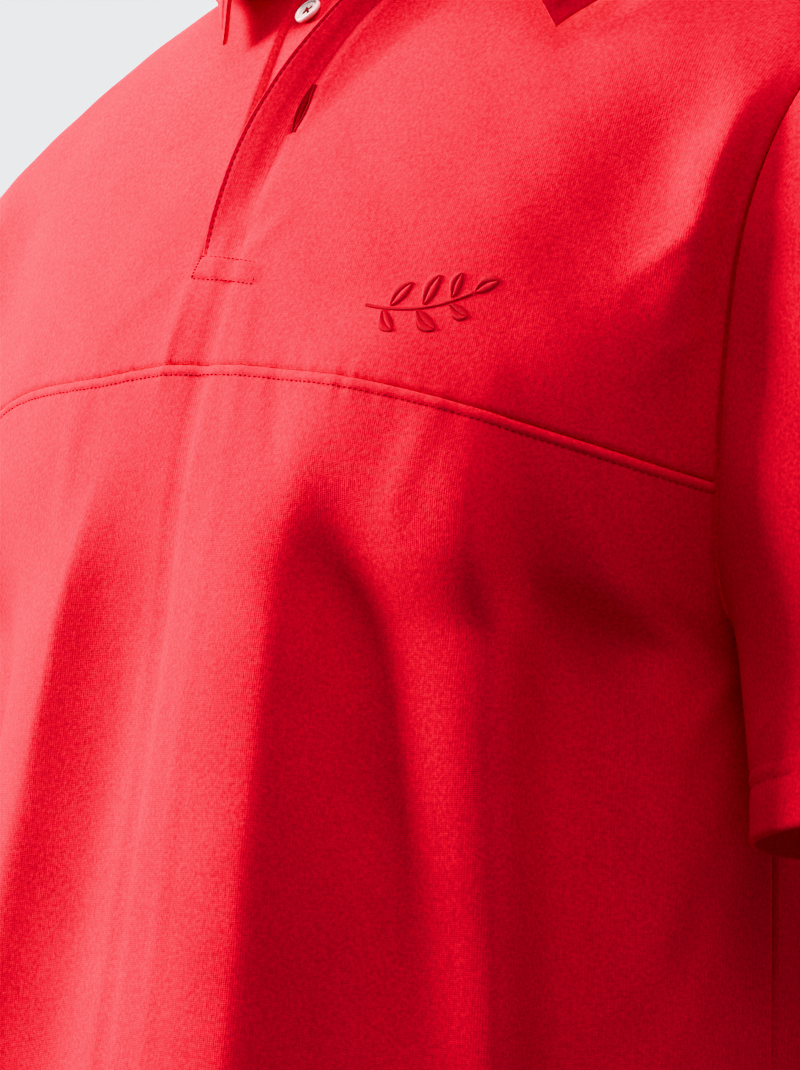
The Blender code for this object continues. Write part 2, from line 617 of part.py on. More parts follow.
def button(name, across, down, material):
    """A turned button with four holes, sewn to the button stand."""
    half = BUTTON_THICKNESS / 2
    rim = BUTTON_RADIUS - BUTTON_RIM
    profile = (
        (0, -half), (BUTTON_RADIUS - 2 * BUTTON_ROUND, -half), (BUTTON_RADIUS, 2 * BUTTON_ROUND - half),
        (BUTTON_RADIUS, half - 2 * BUTTON_ROUND), (BUTTON_RADIUS - BUTTON_ROUND, half), (rim, half),
        (rim - BUTTON_DISH, half - BUTTON_DISH), (0, half - BUTTON_DISH))
    bm = bmesh.new()
    verts = [bm.verts.new((x, 0, z)) for x, z in profile]
    edges = [bm.edges.new(pair) for pair in zip(verts, verts[1:])]
    bmesh.ops.spin(
        bm, geom=verts + edges, cent=(0, 0, 0), axis=(0, 0, 1), angle=math.tau,
        steps=BUTTON_SIDES, use_merge=True)
    bmesh.ops.remove_doubles(bm, verts=bm.verts[:], dist=1e-6)
    bmesh.ops.recalc_face_normals(bm, faces=bm.faces[:])
    obj = add_object(name, bm, material)
    centre = Vector(underlap_point(across, -down, 0.0))
    east = Vector(underlap_point(across + MM, -down, 0.0)) - centre
    north = Vector(underlap_point(across, -down + MM, 0.0)) - centre
    normal = east.cross(north).normalized()
    obj.location = centre + normal * (half + BUTTON_STANDOFF)
    obj.rotation_euler = normal.to_track_quat("Z", "Y").to_euler()
    cut_holes(obj)
    return obj


def cut_holes(obj):
    """Cut the four thread holes through a button."""
    bm = bmesh.new()
    for x in (-BUTTON_HOLE_SPACING, BUTTON_HOLE_SPACING):
        for y in (-BUTTON_HOLE_SPACING, BUTTON_HOLE_SPACING):
            bmesh.ops.create_cone(
                bm, cap_ends=True, segments=8, radius1=BUTTON_HOLE, radius2=BUTTON_HOLE,
                depth=2 * BUTTON_THICKNESS, matrix=Matrix.Translation((x, y, 0)))
    mesh = bpy.data.meshes.new(obj.name + "_holes")
    bm.to_mesh(mesh)
    bm.free()
    cutter = bpy.data.objects.new(obj.name + "_holes", mesh)
    cutter.hide_render = True
    cutter.display_type = "WIRE"
    cutter.location = obj.location
    cutter.rotation_euler = obj.rotation_euler
    shirt_collection().objects.link(cutter)
    holes = obj.modifiers.new("holes", "BOOLEAN")
    holes.operation = "DIFFERENCE"
    holes.solver = "EXACT"
    holes.object = cutter


def main():
    for obj in list(bpy.data.objects):
        bpy.data.objects.remove(obj, do_unlink=True)
    cloth = principled("scarlet_jersey", SCARLET, 0.8)
    self_fabric = principled("collar_jersey", SCARLET, 0.8)
    pearl = principled("pearl_button", PEARL, 0.25)
    front_upper(cloth)
    front_lower(cloth)
    back(cloth)
    sleeve("sleeve_left", 1, cloth)
    sleeve("sleeve_right", -1, cloth)
    collar(self_fabric)
    placket_underlap(self_fabric)
    for name, across, down in BUTTONS:
        button(name, across, down, pearl)


main()
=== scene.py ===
"""Finish of a worn polo shirt with an open neck: fine cloth, stitching, buttons, embroidery and light.

Units: metres, +Z up. The front faces -Y and the wearer's left is +X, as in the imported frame. Places on
the cloth are given as an angle from the centre line (degrees, + to the wearer's left) and as a length
down the cloth from the shoulder ridge (negative on the front, positive on the back).
"""
import math

import bmesh
import bpy
import numpy as np
from bpy.props import FloatProperty, FloatVectorProperty, PointerProperty
from bpy.types import Operator, Panel, PropertyGroup
from mathutils import Matrix, Vector


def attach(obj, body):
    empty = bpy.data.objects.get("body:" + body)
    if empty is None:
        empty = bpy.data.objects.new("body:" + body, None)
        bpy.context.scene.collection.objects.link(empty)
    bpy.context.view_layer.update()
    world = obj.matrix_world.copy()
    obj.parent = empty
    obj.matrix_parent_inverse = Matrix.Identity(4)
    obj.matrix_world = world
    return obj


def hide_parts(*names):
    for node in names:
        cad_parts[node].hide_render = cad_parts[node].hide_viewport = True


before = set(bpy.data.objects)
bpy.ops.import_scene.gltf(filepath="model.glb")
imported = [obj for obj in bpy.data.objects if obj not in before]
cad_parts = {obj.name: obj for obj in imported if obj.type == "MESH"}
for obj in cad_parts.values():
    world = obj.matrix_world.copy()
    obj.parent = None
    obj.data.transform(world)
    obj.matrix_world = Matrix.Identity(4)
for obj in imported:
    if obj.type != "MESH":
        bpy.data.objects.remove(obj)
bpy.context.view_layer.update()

bl_info = {
    "name": "Worn polo shirt",
    "version": (1, 0, 0),
    "blender": (4, 5, 0),
    "location": "3D View > Sidebar > Shirt",
    "description": "Cloth, stitching, buttons and embroidery of a worn polo shirt",
    "category": "Object",
}

MM = 0.001

# ---- cloth and seams -------------------------------------------------------------------------------
CLOTH = 1.8 * MM
COLLAR_CLOTH = 2.2 * MM
SEAM_GAP = 0.06 * MM        # the sewn edges meet
HALF_GAP = SEAM_GAP / 2
SEAM_DIP = 1.0 * MM         # cloth rolls down into a seam
SEAM_DIP_REACH = 2.6 * MM
BAND_WIDTH = 4.6 * MM       # seam allowance pressed down below the chest seam, and topstitched
BAND_RISE = 0.55 * MM
STITCH_DITCH = 0.4 * MM     # depth of the groove that a line of stitches pulls
STITCH_DITCH_WIDTH = 0.75 * MM
HEM_STITCHES = (22 * MM, 28 * MM)   # twin needle lines, up from the edge
HEM_PUFF = 0.5 * MM
HEM_ROLL = 2 * MM           # its edge comes up over this
HEM_FALL = 8 * MM           # and it falls to the first line of stitches over this
HEM_RIDGE = 1.8 * MM        # half of the ridge between the two lines

# ---- the body of the shirt -------------------------------------------------------------------------
# One row for each section, from the front hem up over the shoulder ridge and down to the back hem (mm).
# centre: where the section crosses the centre line. edge: where it ends, at the side seam or armhole.
# square: 2 is an ellipse, and more is squarer. turn: how far it has turned where it ends (degrees).
#   name            centre y     z    edge x     y     z  square turn
SECTIONS = (
    ("front hem",       -150, -705,     216,    0, -705, 2.5, 90),
    ("front waist",     -147, -500,     204,    0, -500, 2.5, 90),
    ("front armpit",    -142, -340,     193,    0, -345, 2.6, 90),
    ("front underarm",  -140, -296,     196,  -38, -322, 2.6, 87),
    ("front chest",     -133, -231,     205,  -60, -271, 2.6, 82),
    ("placket end",     -125, -193,     210,  -67, -236, 2.6, 79),
    ("upper chest",     -104, -125,     222,  -74, -178, 2.5, 74),
    ("neck pit",         -78,  -64,     240,  -64, -128, 2.3, 66),
    ("collarbone",       -52,  -28,     251,  -42, -110, 2.1, 58),
    ("front roll",       -24,   -2,     255,  -16, -105, 2.0, 52),
    ("ridge",              5,    9,     256,    8, -104, 2.0, 50),
    ("back roll",         34,   12,     255,   32, -105, 2.0, 52),
    ("nape",              64,    4,     251,   56, -110, 2.1, 58),
    ("yoke",              92,  -44,     240,   72, -134, 2.3, 66),
    ("shoulder blade",   114, -130,     220,   80, -188, 2.4, 76),
    ("back chest",       120, -226,     205,   64, -266, 2.5, 82),
    ("back underarm",    120, -296,     196,   38, -322, 2.5, 87),
    ("back armpit",      120, -340,     193,    0, -345, 2.5, 90),
    ("back waist",       124, -500,     204,    0, -500, 2.4, 90),
    ("back hem",         134, -705,     216,    0, -705, 2.4, 90),
)
SHOULDER_DROP_POWER = 1.85  # how a section falls from the centre line to its edge
SIDE_DEPTH = 140 * MM       # from the side seam forward to the front of the body

# ---- seams, neckline and placket -------------------------------------------------------------------
CHEST_SEAM_DOWN = 292.8 * MM    # from the ridge, along the cloth
CHEST_SEAM_TILT = 6.2 * MM      # lower towards the wearer's left
CHEST_SEAM_SPREAD = 22.0        # degrees
CHEST_SEAM_RISE = 13 * MM       # drawn up at the wearer's right side
CHEST_SEAM_RISE_AT = (-16, 30)  # degrees: where it starts, and over how far
NECK_ANGLE = 27.0               # degrees from the centre line to the neck point of the shoulder seam
NECK_DEPTH_FRONT = 104 * MM
NECK_DEPTH_BACK = 62 * MM
NECK_ROUND = 2.2
PLACKET_ANGLE = -6.0            # the slit, 19 mm to the wearer's right of the centre line
PLACKET_DOWN = 243 * MM         # lower end of the slit, from the ridge

# The unbuttoned neck: how far each side of the slit is pulled away at the neck seam.
OVERLAP_PULL = 24.5         # degrees, towards the wearer's left
OVERLAP_PULL_POWER = 2.35
OVERLAP_LIFT = 18 * MM      # the overlap's edge stands off
UNDERLAP_PULL = -3.4        # degrees, towards the wearer's right
PULL_REACH = 62.0           # degrees of cloth that follow the pull
PULL_LIMIT = 1.15           # of the slit's length, for cloth that is higher than the slit
PULL_FADE = 1.2             # the pull dies out towards the ridge
LIFT_POWER = 0.8
LIFT_FALL = 1.4             # how it falls away from the edge
LIFT_REACH = (1.0, 24.0)    # degrees, at the slit's lower end and at its top

# ---- folds -----------------------------------------------------------------------------------------
# Soft ridges (height above 0) and troughs (below 0) that hang from the chest and the shoulder blades.
# angles: where the fold lies at its top and bottom (degrees, + to the wearer's left). downs: its top and
# bottom, along the cloth from the ridge (mm, the back is positive). widths: to the wearer's right and
# left of its crest (degrees). crest: 2 is round, and less is sharper. grow, fade: shares of its length.
#   name               angles       downs        widths      height crest grow  fade
FOLDS = (
    ("right chest",   -14.5, -32,   -310, -764,    9, 4.5,      7,  1.8, 0.20, 0.0),
    ("valley left of A", -1, -18,   -315, -764,    7,  8,      -6,  2.0, 0.25, 0.0),
    ("ridge A",          20,  19,   -245, -764,   18,  7,      14,  1.9, 0.35, 0.0),
    ("swell above them", 28,  31,   -255, -410,    9, 12,       6,  2.0, 0.30, 0.5),
    ("valley A to B",    22,  58,   -322, -764,    6,  6,      -8,  2.0, 0.15, 0.35),
    ("ridge B",        43.5, 52.0,  -265, -764,   10, 2.8,     13,  1.9, 0.20, 0.0),
    ("valley B to C",    50,  61,   -302, -764,    4, 10,      -9,  2.0, 0.25, 0.0),
    ("ridge C",          63,  72,   -285, -764,    7,  7,       6,  2.0, 0.30, 0.0),
    ("right valley",    -36, -52,   -318, -764,    8,  7,     -10,  2.0, 0.30, 0.0),
    ("right side",      -60, -69,   -300, -764,    9,  8,       7,  2.0, 0.30, 0.0),
    ("left shoulder",    80,  74,   -112, -290,    9,  5,       7,  1.8, 0.35, 0.5),
    ("right shoulder",  -80, -74,   -112, -290,    5,  9,       7,  1.8, 0.35, 0.5),
    ("left chest drag",  72,  46,   -112, -290,   10, 10,      -4,  2.0, 0.35, 0.5),
    ("right chest drag",-70, -44,   -112, -270,   10, 10,      -4,  2.0, 0.35, 0.5),
    ("back centre",       2,   3,    190,  764,   14, 12,      -8,  2.0, 0.35, 0.0),
    ("back left",        26,  30,    170,  764,    9, 11,       9,  1.8, 0.30, 0.0),
    ("back left trough", 44,  49,    185,  764,    9,  7,     -11,  2.0, 0.30, 0.0),
    ("back left side",   62,  66,    210,  764,    9,  9,       6,  2.0, 0.30, 0.0),
    ("back right",      -24, -29,    175,  764,   11,  9,       9,  1.8, 0.30, 0.0),
    ("back right trough",-43,-47,    195,  764,    7,  9,     -10,  2.0, 0.30, 0.0),
    ("back right side", -61, -66,    205,  764,    9,  9,       6,  2.0, 0.30, 0.0),
)
FOLDS_END_AT = 89.0         # degrees: the side seams and armholes carry no folds
FOLD_EDGE = 8.0             # degrees over which folds die out there

# ---- sleeves (the wearer's left, mirrored for the right) ---------------------------------------------
# One row for each rib, from the top of the armhole round to the armpit. around: share of the way.
# start: direction in which the cloth leaves the armhole. cuff: where the rib meets the hem (degrees).
#   name        around    start x     y      z    cuff
SLEEVE_RIBS = (
    ("top",       0.00,      0.72,  0.00, -0.69,    0),
    ("cap",       0.30,      0.82, -0.18, -0.54,   45),
    ("side",      0.55,      0.84, -0.10, -0.53,   88),
    ("low side",  0.80,      0.56, -0.10, -0.82,  132),
    ("armpit",    1.00,      0.16,  0.00, -0.99,  180),
)
CUFF_CENTRE = (270 * MM, -4 * MM, -402 * MM)
CUFF_RADIUS_SIDE = 65 * MM
CUFF_RADIUS_FRONT = 63 * MM
CUFF_SLOPE = 0.14           # the hem rises to the outside
ARM_DOWN = (0.10, -0.07, -0.99)
START_PULL = 0.85           # how far a rib follows its first direction, as a share of its length
END_PULL = 0.85

# ---- collar ----------------------------------------------------------------------------------------
# One row for each station of one half, from the centre back to the front end. seam: share of the neck
# seam. stand: height of the inner stand. lean: how far the stand leans out of the neck. leaf: where the
# leaf's edge lies on the shirt (degrees, and mm down from the ridge: front negative).
#   name             seam  stand  lean    right leaf     left leaf
COLLAR_STATIONS = (
    ("centre back",  0.00,    34,    2,      0,  104,      0,  104),
    ("back",         0.20,    34,    2,    -19,   96,     19,   96),
    ("neck side",    0.42,    33,    3,    -40,   26,     40,   26),
    ("front side",   0.62,    31,    6,    -34,  -58,     47,  -52),
    ("towards tip",  0.82,    27,   10,    -21, -108,     48, -106),
    ("tip",          1.00,    22,   14,    -16, -134,   41.5, -138),
)
ROLL = 4.5 * MM             # radius of the fold at the collar's top
LEAF_CLEAR = 5.5 * MM       # the leaf's edge lies this far off the shirt
LEAF_BULGE = 11 * MM
LEAF_BULGE_RISE = 0.8       # the bulge goes up as well as out
COLLAR_ROW_KNOTS = (0, 1.7, 2.2, 2.7, 3.9, 5.2)     # foot, inner, crest, outer, middle and edge
NECK_SIDE_SHARE = 0.42      # of the way from the centre back to the front end
COLLAR_ENDS = (-2.0, 0.0)   # degrees, on the button stand and on the centre line of the overlap
NECK_AXIS = (0, 5 * MM, 0)
FOOT_RISE = 0.5             # mm
FOOT_CLEAR = 0.3 * MM

# ---- button stand and buttons ------------------------------------------------------------------------
UNDERLAP_WIDTH = 26 * MM
UNDERLAP_TUCK = 5 * MM      # goes behind the wearer's right front
UNDERLAP_END = 256 * MM     # down from the ridge
UNDERLAP_CLOTH = 1.4 * MM
UNDERLAP_CLEAR = 0.7 * MM   # below the inside of the front
ACROSS_ONE_DEGREE = 3.2 * MM  # of the cloth by the centre line
#   name             from the slit  down from the ridge
BUTTONS = (
    ("button_top",       11 * MM,      121 * MM),
    ("button_second",    16 * MM,      180 * MM),
)
BUTTON_RADIUS = 6.35 * MM
BUTTON_THICKNESS = 2.8 * MM
BUTTON_RIM = 1.3 * MM       # width of the raised rim
BUTTON_ROUND = 0.5 * MM     # its outer edges
BUTTON_DISH = 0.7 * MM      # depth of the dish inside it
BUTTON_HOLE = 0.8 * MM      # radius
BUTTON_HOLE_SPACING = 1.45 * MM
BUTTON_STANDOFF = 0.35 * MM
BUTTON_SIDES = 56
BUTTON_THREAD = 0.3 * MM    # radius
BUTTON_STRANDS = (-0.28, 0.0, 0.28)     # mm, side by side each way
PEARL_WARM = (0.80, 0.74, 0.74)     # times the button's colour, in its deep clouds
PEARL_COOL = (1.05, 1.06, 1.07)     # and in its light ones

# ---- small creases -----------------------------------------------------------------------------------
# Soft ridges and troughs that the seams pull, each along a line on the cloth.
# from, to: angle (degrees) and length down from the ridge (mm). width and height in mm.
#   name                    from angle, down    to angle, down   width  height
CREASES = (
    ("drag to the box",          4, -228,        -1.5, -243,      2.6,  -1.1),
    ("beside that drag",         9, -224,         3.0, -246,      3.5,   0.7),
    ("line under the box",     5.2, -257,         8.0, -322,      3.2,   0.9),
    ("line down ridge A",      8.0, -312,         8.2, -690,      2.4,   0.7),
    ("line, right chest",    -15.5, -335,       -19.5, -460,      2.6,   0.8),
    ("under the box, left",   -6.6, -252,        -7.4, -300,      5.0,   1.1),
    ("under the box, middle", -1.0, -262,        -1.5, -330,      7.0,  -1.3),
    ("box to the right front", -9.0, -246,       -22, -268,       6.0,   0.6),
    ("above the motif",         22, -212,         44, -236,       8.0,   0.7),
    ("armhole drag, high",      80, -190,         62, -232,       6.0,   1.2),
    ("armhole drag, low",       82, -240,         66, -268,       6.0,   0.9),
    ("chest seam drag, left",   38, -300,         34, -352,       6.0,   1.0),
    ("chest seam drag, middle", 14, -298,         17, -336,       6.0,  -1.1),
    ("chest seam drag, right", -24, -292,        -22, -350,       7.0,   1.1),
    ("armpit drag, left",       86, -372,         70, -440,       8.0,   1.8),
    ("armpit drag, right",     -86, -376,        -68, -452,       8.0,   1.8),
    ("waist drag, left",        80, -470,         62, -560,      10.0,  -1.6),
    ("waist drag, right",      -78, -480,        -60, -556,      10.0,  -1.6),
    ("back neck drag",          12,   92,         24,  150,       7.0,   1.1),
    ("back neck drag, right",  -13,   96,        -22,  160,       7.0,   1.0),
    ("back armhole drag",       84,  250,         60,  312,       8.0,   1.6),
    ("back armhole, right",    -84,  244,        -58,  320,       8.0,   1.7),
    ("back armpit drag",        84,  392,         66,  470,       9.0,   1.8),
    ("back armpit, right",     -84,  388,        -64,  482,       9.0,   1.6),
    ("back waist",              16,  430,         34,  520,      11.0,  -1.7),
    ("back waist, right",      -12,  470,        -30,  585,      11.0,  -1.6),
)
CREASE_ENDS = 0.35          # share of its height that a crease keeps at its ends
UNEVEN = 0.45 * MM          # of hanging cloth, over hand-sized patches
#   name       waves per metre across, down    turn
WAVES = (
    ("long",         9,   5,    0.4),
    ("short",       17,  -8,    2.1),
    ("slanted",     12,  13,    4.4),
    ("small",       24,  19,    1.2),
)
PUCKER = 0.16 * MM          # along stitched seams
PUCKER_REACH = 7 * MM
PUCKER_WAVES = (83, 131)    # per metre

# Folds of the sleeves. around: place on the ring (-1 and 1 the armpit, below 0 the front) at the armhole
# and at the hem. along: 0 the armhole, 1 the hem. width: share of half the ring. height in mm.
#   name              around        along       width  height
SLEEVE_FOLDS = (
    ("front fold",   -0.72, -0.52,  0.02, 0.80,  0.075,   3.6),
    ("front trough", -0.62, -0.38,  0.05, 0.90,  0.090,  -3.4),
    ("armpit drag",  -0.88, -0.74,  0.00, 0.70,  0.060,  -2.6),
    ("side swell",   -0.30, -0.22,  0.20, 1.10,  0.120,   2.2),
    ("top trough",    0.02,  0.10,  0.25, 1.10,  0.110,  -1.6),
    ("back fold",     0.66,  0.50,  0.02, 0.85,  0.080,   3.4),
    ("back trough",   0.56,  0.36,  0.05, 0.95,  0.090,  -3.2),
    ("back armpit",   0.88,  0.72,  0.00, 0.70,  0.060,  -2.4),
)

# ---- placket box, buttonhole and embroidery ----------------------------------------------------------
# Corners of the stitched box at the placket's lower end: angle and down (mm).
BOX_CORNERS = ((-6.0, -243), (4.9, -250), (5.3, -259.5), (-6.6, -253))
BOX_RISE = 0.9 * MM
BOX_SHADOW_STITCH_ROWS = (-0.16, 0.16, 0.32)      # degrees: close rows of dark stitches down its left side, painted shadow of the placket's folded edge
BUTTONHOLE_ENDS = ((0.9, -170.0), (1.7, -188.5))    # angle and down (mm), before the placket opens
BUTTONHOLE_OPEN = 1.5 * MM  # half of its width
BUTTONHOLE_BORDER = 1.5 * MM
BUTTONHOLE_STITCHES = 54    # on each side
BUTTONHOLE_RUN = 0.06       # they go on past its ends, by this share of its length
BUTTONHOLE_THREAD = 0.2 * MM    # radius
EDGE_STITCH = 2.0 * MM      # in from the folded edge of the placket
COLLAR_STITCH = 5.5 * MM    # in from the collar's edge
COLLAR_LENGTH_ACROSS = 235 * MM     # of one half
COLLAR_LENGTH_DOWN = 122 * MM       # foot to edge
COLLAR_TURNED = 0.45 * MM   # the leaf is fuller by this between its edge and its stitches
LEAF_ROWS = (0.44, 0.06)    # row where the leaf's relief starts, and over how much
COLLAR_STITCH_TOP = 0.46    # row where the stitches of its ends start, just over the fold
COLLAR_DITCH_ROWS = (3.6, 7.6, 0.55)    # fine rows by its stitches: first, last and step (mm)
COLLAR_STEP = 3.4 * MM
COLLAR_ROW_STEP = 2.6 * MM

SPRIG_CENTRE = (32.6, -261)     # angle, and down in mm
SPRIG_TILT = -9.0               # degrees
SPRIG_STEM = ((-24, -10), (-5, -9), (9, 0), (21, 10))     # mm to the left, mm up
# side: +1 above the stem. length and width in mm. turn: away from the stem, degrees.
#   name             place  side  length width  turn
SPRIG_LEAVES = (
    ("first below",   0.14,  -1,    11,   6.4,   48),
    ("first above",   0.20,   1,    13,   7.2,   54),
    ("second below",  0.44,  -1,    12,   6.8,   46),
    ("second above",  0.50,   1,    14,   7.4,   52),
    ("third below",   0.74,  -1,    10,   6.0,   44),
    ("third above",   0.78,   1,    11,   6.2,   50),
    ("end leaf",      1.00,   1,    12,   6.6,    4),
)
SPRIG_LEAF_FOOT = 1.5 * MM  # from the stem to the start of a leaf
SPRIG_LEAF_CURVE = 0.10     # bend of its vein, as a share of its length
SPRIG_LEAF_SLANT = 0.45     # its stitches run this far along it, as a share of half its width
STEM_STITCHES = 110
STEM_HALF = 0.75 * MM       # half of the stem's width
STEM_SLANT = 0.3 * MM       # its stitches run this much along it
SATIN_PITCH = 0.42 * MM
SATIN_RADIUS = 0.27 * MM
SATIN_RISE = 0.5 * MM
VEIN = 0.05 * MM            # half of the gap down the middle of a leaf

# ---- finishes ----------------------------------------------------------------------------------------
# Soft random patches. scale: how fine the noise is. low, high: what they vary between.
#   name                scale     low    high   detail
PATCHES = {
    "cloth fuzz":       (900,    0.00,   1.00,   4.0),
    "cloth grain":      (420,    0.00,   1.00,   2.0),
    "cloth dye":        (26,     0.95,   1.05,   3.0),
    "cloth mottle":     (700,    0.78,   1.16,   3.0),
    "cloth roughness":  (300,    0.76,   0.90,   3.0),
    "thread shade":     (1400,   0.82,   1.15,   2.0),
    "shell cloud":      (210,    0.00,   1.00,   4.0),
    "shell roughness":  (500,    0.14,   0.26,   3.0),
    "floor roughness":  (3,      0.62,   0.78,   3.0),
}
LOOP_HEIGHT = 0.45          # shares of the cloth's relief: the knit's loops,
GRAIN_HEIGHT = 0.35         # and each of the fuzz and the grain over them
LOOP_PAINTED_SHADE = 0.16           # painted shade: a loop's top is lighter than its foot by this
LOOP_FOOT_SHADE = 0.93            # of the cloth's colour, the painted shade at a loop's foot
SEAM_THREAD_GLOSS = 0.04
SATIN_THREAD_GLOSS = 0.06

# ---- camera and light --------------------------------------------------------------------------------
CAMERA_AZIMUTH = 45.0
CAMERA_ELEVATION = -8.0
CAMERA_ROLL = 5.0
CAMERA_DISTANCE = 1.25
CAMERA_TARGET = (0.0, -0.125, -0.193)
CAMERA_SIDESTEP = 0.0684    # metres to the camera's right of the target
CAMERA_SINK = 0.1068        # metres below it, across the view
CAMERA_LENS = 105.1
CAMERA_SENSOR = 36.0

# Soft lights. azimuth: 0 is in front, + to the wearer's left. sizes and distances in metres.
#   name            azimuth  elevation  distance  size
LIGHTS = (
    ("key_light",       -66,     15,      2.6,    1.0),
    ("top_light",        30,     75,      1.6,    1.0),
    ("front_light",      50,     38,      1.9,    1.2),
    ("back_light",     -124,     20,      2.6,    1.0),
    ("far_back_light",  160,     30,      3.6,    1.6),
)


# ---- the body form ---------------------------------------------------------------------------------
NAMES = [row[0] for row in SECTIONS]
SHAPES = np.array([row[1:] for row in SECTIONS], float) * (MM, MM, MM, MM, MM, 1, 1)


def section_downs():
    """Length of cloth from the ridge to each section, negative at the front."""
    steps = np.hypot(np.diff(SHAPES[:, 0]), np.diff(SHAPES[:, 1]))
    level = np.abs(np.diff(SHAPES[:, 1]))
    below = [i < NAMES.index("front underarm") or i >= NAMES.index("back underarm")
             for i in range(len(steps))]
    downs = np.concatenate([[0], np.cumsum(np.where(below, level, steps))])
    return downs - downs[NAMES.index("ridge")]


DOWNS = section_downs()
HEM_FRONT = DOWNS[0]
HEM_BACK = DOWNS[-1]
ARMPIT_FRONT = DOWNS[NAMES.index("front armpit")]
ARMPIT_BACK = DOWNS[NAMES.index("back armpit")]


def curve_shares(t):
    """Shares of a smooth curve's start, of its slope there, of its end and of its slope there."""
    return 2 * t**3 - 3 * t**2 + 1, t**3 - 2 * t**2 + t, 3 * t**2 - 2 * t**3, t**3 - t**2


def smooth_rows(knots, rows, at):
    """Rows joined by smooth curves that never swing past a row, read at the given knots."""
    at = np.clip(np.asarray(at, float), knots[0], knots[-1])
    length = np.diff(knots)[:, None]
    slope = np.diff(rows, axis=0) / length
    tangent = np.empty_like(rows)
    tangent[0] = slope[0]
    tangent[-1] = slope[-1]
    mean = (slope[:-1] * length[1:] + slope[1:] * length[:-1]) / (length[1:] + length[:-1])
    tangent[1:-1] = np.where(slope[:-1] * slope[1:] > 0, mean, 0)
    i = np.clip(np.searchsorted(knots, at, side="right") - 1, 0, len(knots) - 2)
    step = length[i, 0]
    t = ((at - knots[i]) / step)[..., None]
    step = step[..., None]
    start, leave, end, arrive = curve_shares(t)
    return (start * rows[i] + leave * step * tangent[i]
            + end * rows[i + 1] + arrive * step * tangent[i + 1])


def section_turn(turn, square):
    """Sideways and forward share of a rounded section, turned so far (degrees)."""
    turn = np.radians(turn)
    sine = np.sin(turn)
    cosine = np.cos(turn).clip(1e-9)
    reach = (sine**square + cosine**square) ** (-1 / square)
    return sine * reach, cosine * reach


def body_point(angle, down):
    """Point of the smooth body form. angle: degrees from the centre line, + to the wearer's left."""
    angle, down = np.broadcast_arrays(np.asarray(angle, float), np.asarray(down, float))
    shape = np.moveaxis(smooth_rows(DOWNS, SHAPES, down), -1, 0)
    centre_y, centre_z, edge_x, edge_y, edge_z, square, turn = shape
    out, front = section_turn(np.abs(angle) / 90 * turn, square)
    last_out, last_front = section_turn(turn, square)
    out = out / last_out
    front = (front - last_front) / (1 - last_front)
    return np.stack([
        edge_x * out * np.sign(angle),
        edge_y + (centre_y - edge_y) * front,
        centre_z + (edge_z - centre_z) * out**SHOULDER_DROP_POWER], -1)


def unit(vectors):
    return vectors / np.linalg.norm(vectors, axis=-1, keepdims=True)


def body_normal(angle, down):
    """Outward direction of the body form."""
    angle = np.clip(np.asarray(angle, float), -89.4, 89.4)
    across = body_point(angle + 0.5, down) - body_point(angle - 0.5, down)
    along = body_point(angle, np.asarray(down) + 2 * MM) - body_point(angle, np.asarray(down) - 2 * MM)
    return unit(np.cross(across, along))


def smooth_step(t):
    t = np.clip(t, 0, 1)
    return t * t * (3 - 2 * t)


def fold_height(angle, down):
    """Height of the cloth's folds over the body form."""
    total = np.zeros(np.broadcast(angle, down).shape)
    for _, top, bottom, start, end, right, left, height, crest, grow, fade in FOLDS:
        share = (down - start * MM) / ((end - start) * MM)
        off = angle - (top + (bottom - top) * np.clip(share, 0, 1))
        width = np.where(off < 0, right, left)
        strength = smooth_step(share / grow)
        if fade:
            strength = strength * smooth_step((1 - share) / fade)
        total += height * MM * strength * np.exp(-np.abs(off / width) ** crest)
    return total * smooth_step((FOLDS_END_AT - np.abs(angle)) / FOLD_EDGE)


def crease_height(angle, down):
    """Height of the small creases, each a soft ridge or trough along a straight line on the cloth."""
    across = np.asarray(angle) * ACROSS_ONE_DEGREE
    total = np.zeros(np.broadcast(angle, down).shape)
    for _, from_angle, from_down, to_angle, to_down, width, height in CREASES:
        start = np.array([from_angle * ACROSS_ONE_DEGREE, from_down * MM])
        way = np.array([to_angle * ACROSS_ONE_DEGREE, to_down * MM]) - start
        share = ((across - start[0]) * way[0] + (down - start[1]) * way[1]) / (way @ way)
        nearest = np.clip(share, 0, 1)
        off = np.hypot(across - start[0] - nearest * way[0], down - start[1] - nearest * way[1])
        fade = CREASE_ENDS + (1 - CREASE_ENDS) * np.sin(math.pi * nearest)
        total += height * MM * fade * np.exp(-(off / (width * MM)) ** 2)
    return total


def unevenness(angle, down):
    across = np.asarray(angle) * ACROSS_ONE_DEGREE
    total = sum(np.sin(math.tau * (a * across + b * down) + turn) for _, a, b, turn in WAVES)
    return UNEVEN * total / len(WAVES) * smooth_step((FOLDS_END_AT - np.abs(angle)) / FOLD_EDGE)


def cloth_height(angle, down):
    return fold_height(angle, down) + crease_height(angle, down) + unevenness(angle, down)


def seam_dip(distance):
    """How the cloth rolls down within a few millimetres of a seam."""
    return -SEAM_DIP * np.clip(1 - distance / SEAM_DIP_REACH, 0, 1) ** 2


def stitch_ditch(distance):
    """Groove along a line of stitches, at this distance from the line."""
    return -STITCH_DITCH * np.exp(-(distance / STITCH_DITCH_WIDTH) ** 2)


def pucker(across, distance):
    """Small waves that stitching leaves along a seam."""
    first, second = PUCKER_WAVES
    wave = np.sin(math.tau * first * across) + 0.7 * np.sin(math.tau * second * across + 1.3)
    return PUCKER * wave * np.exp(-(distance / PUCKER_REACH) ** 2)


def side_distance(angle, down):
    """Distance along the cloth to the side seam or armhole."""
    edge = body_point(90 * np.sign(angle), down)
    return np.linalg.norm(body_point(angle, down) - edge, axis=-1)


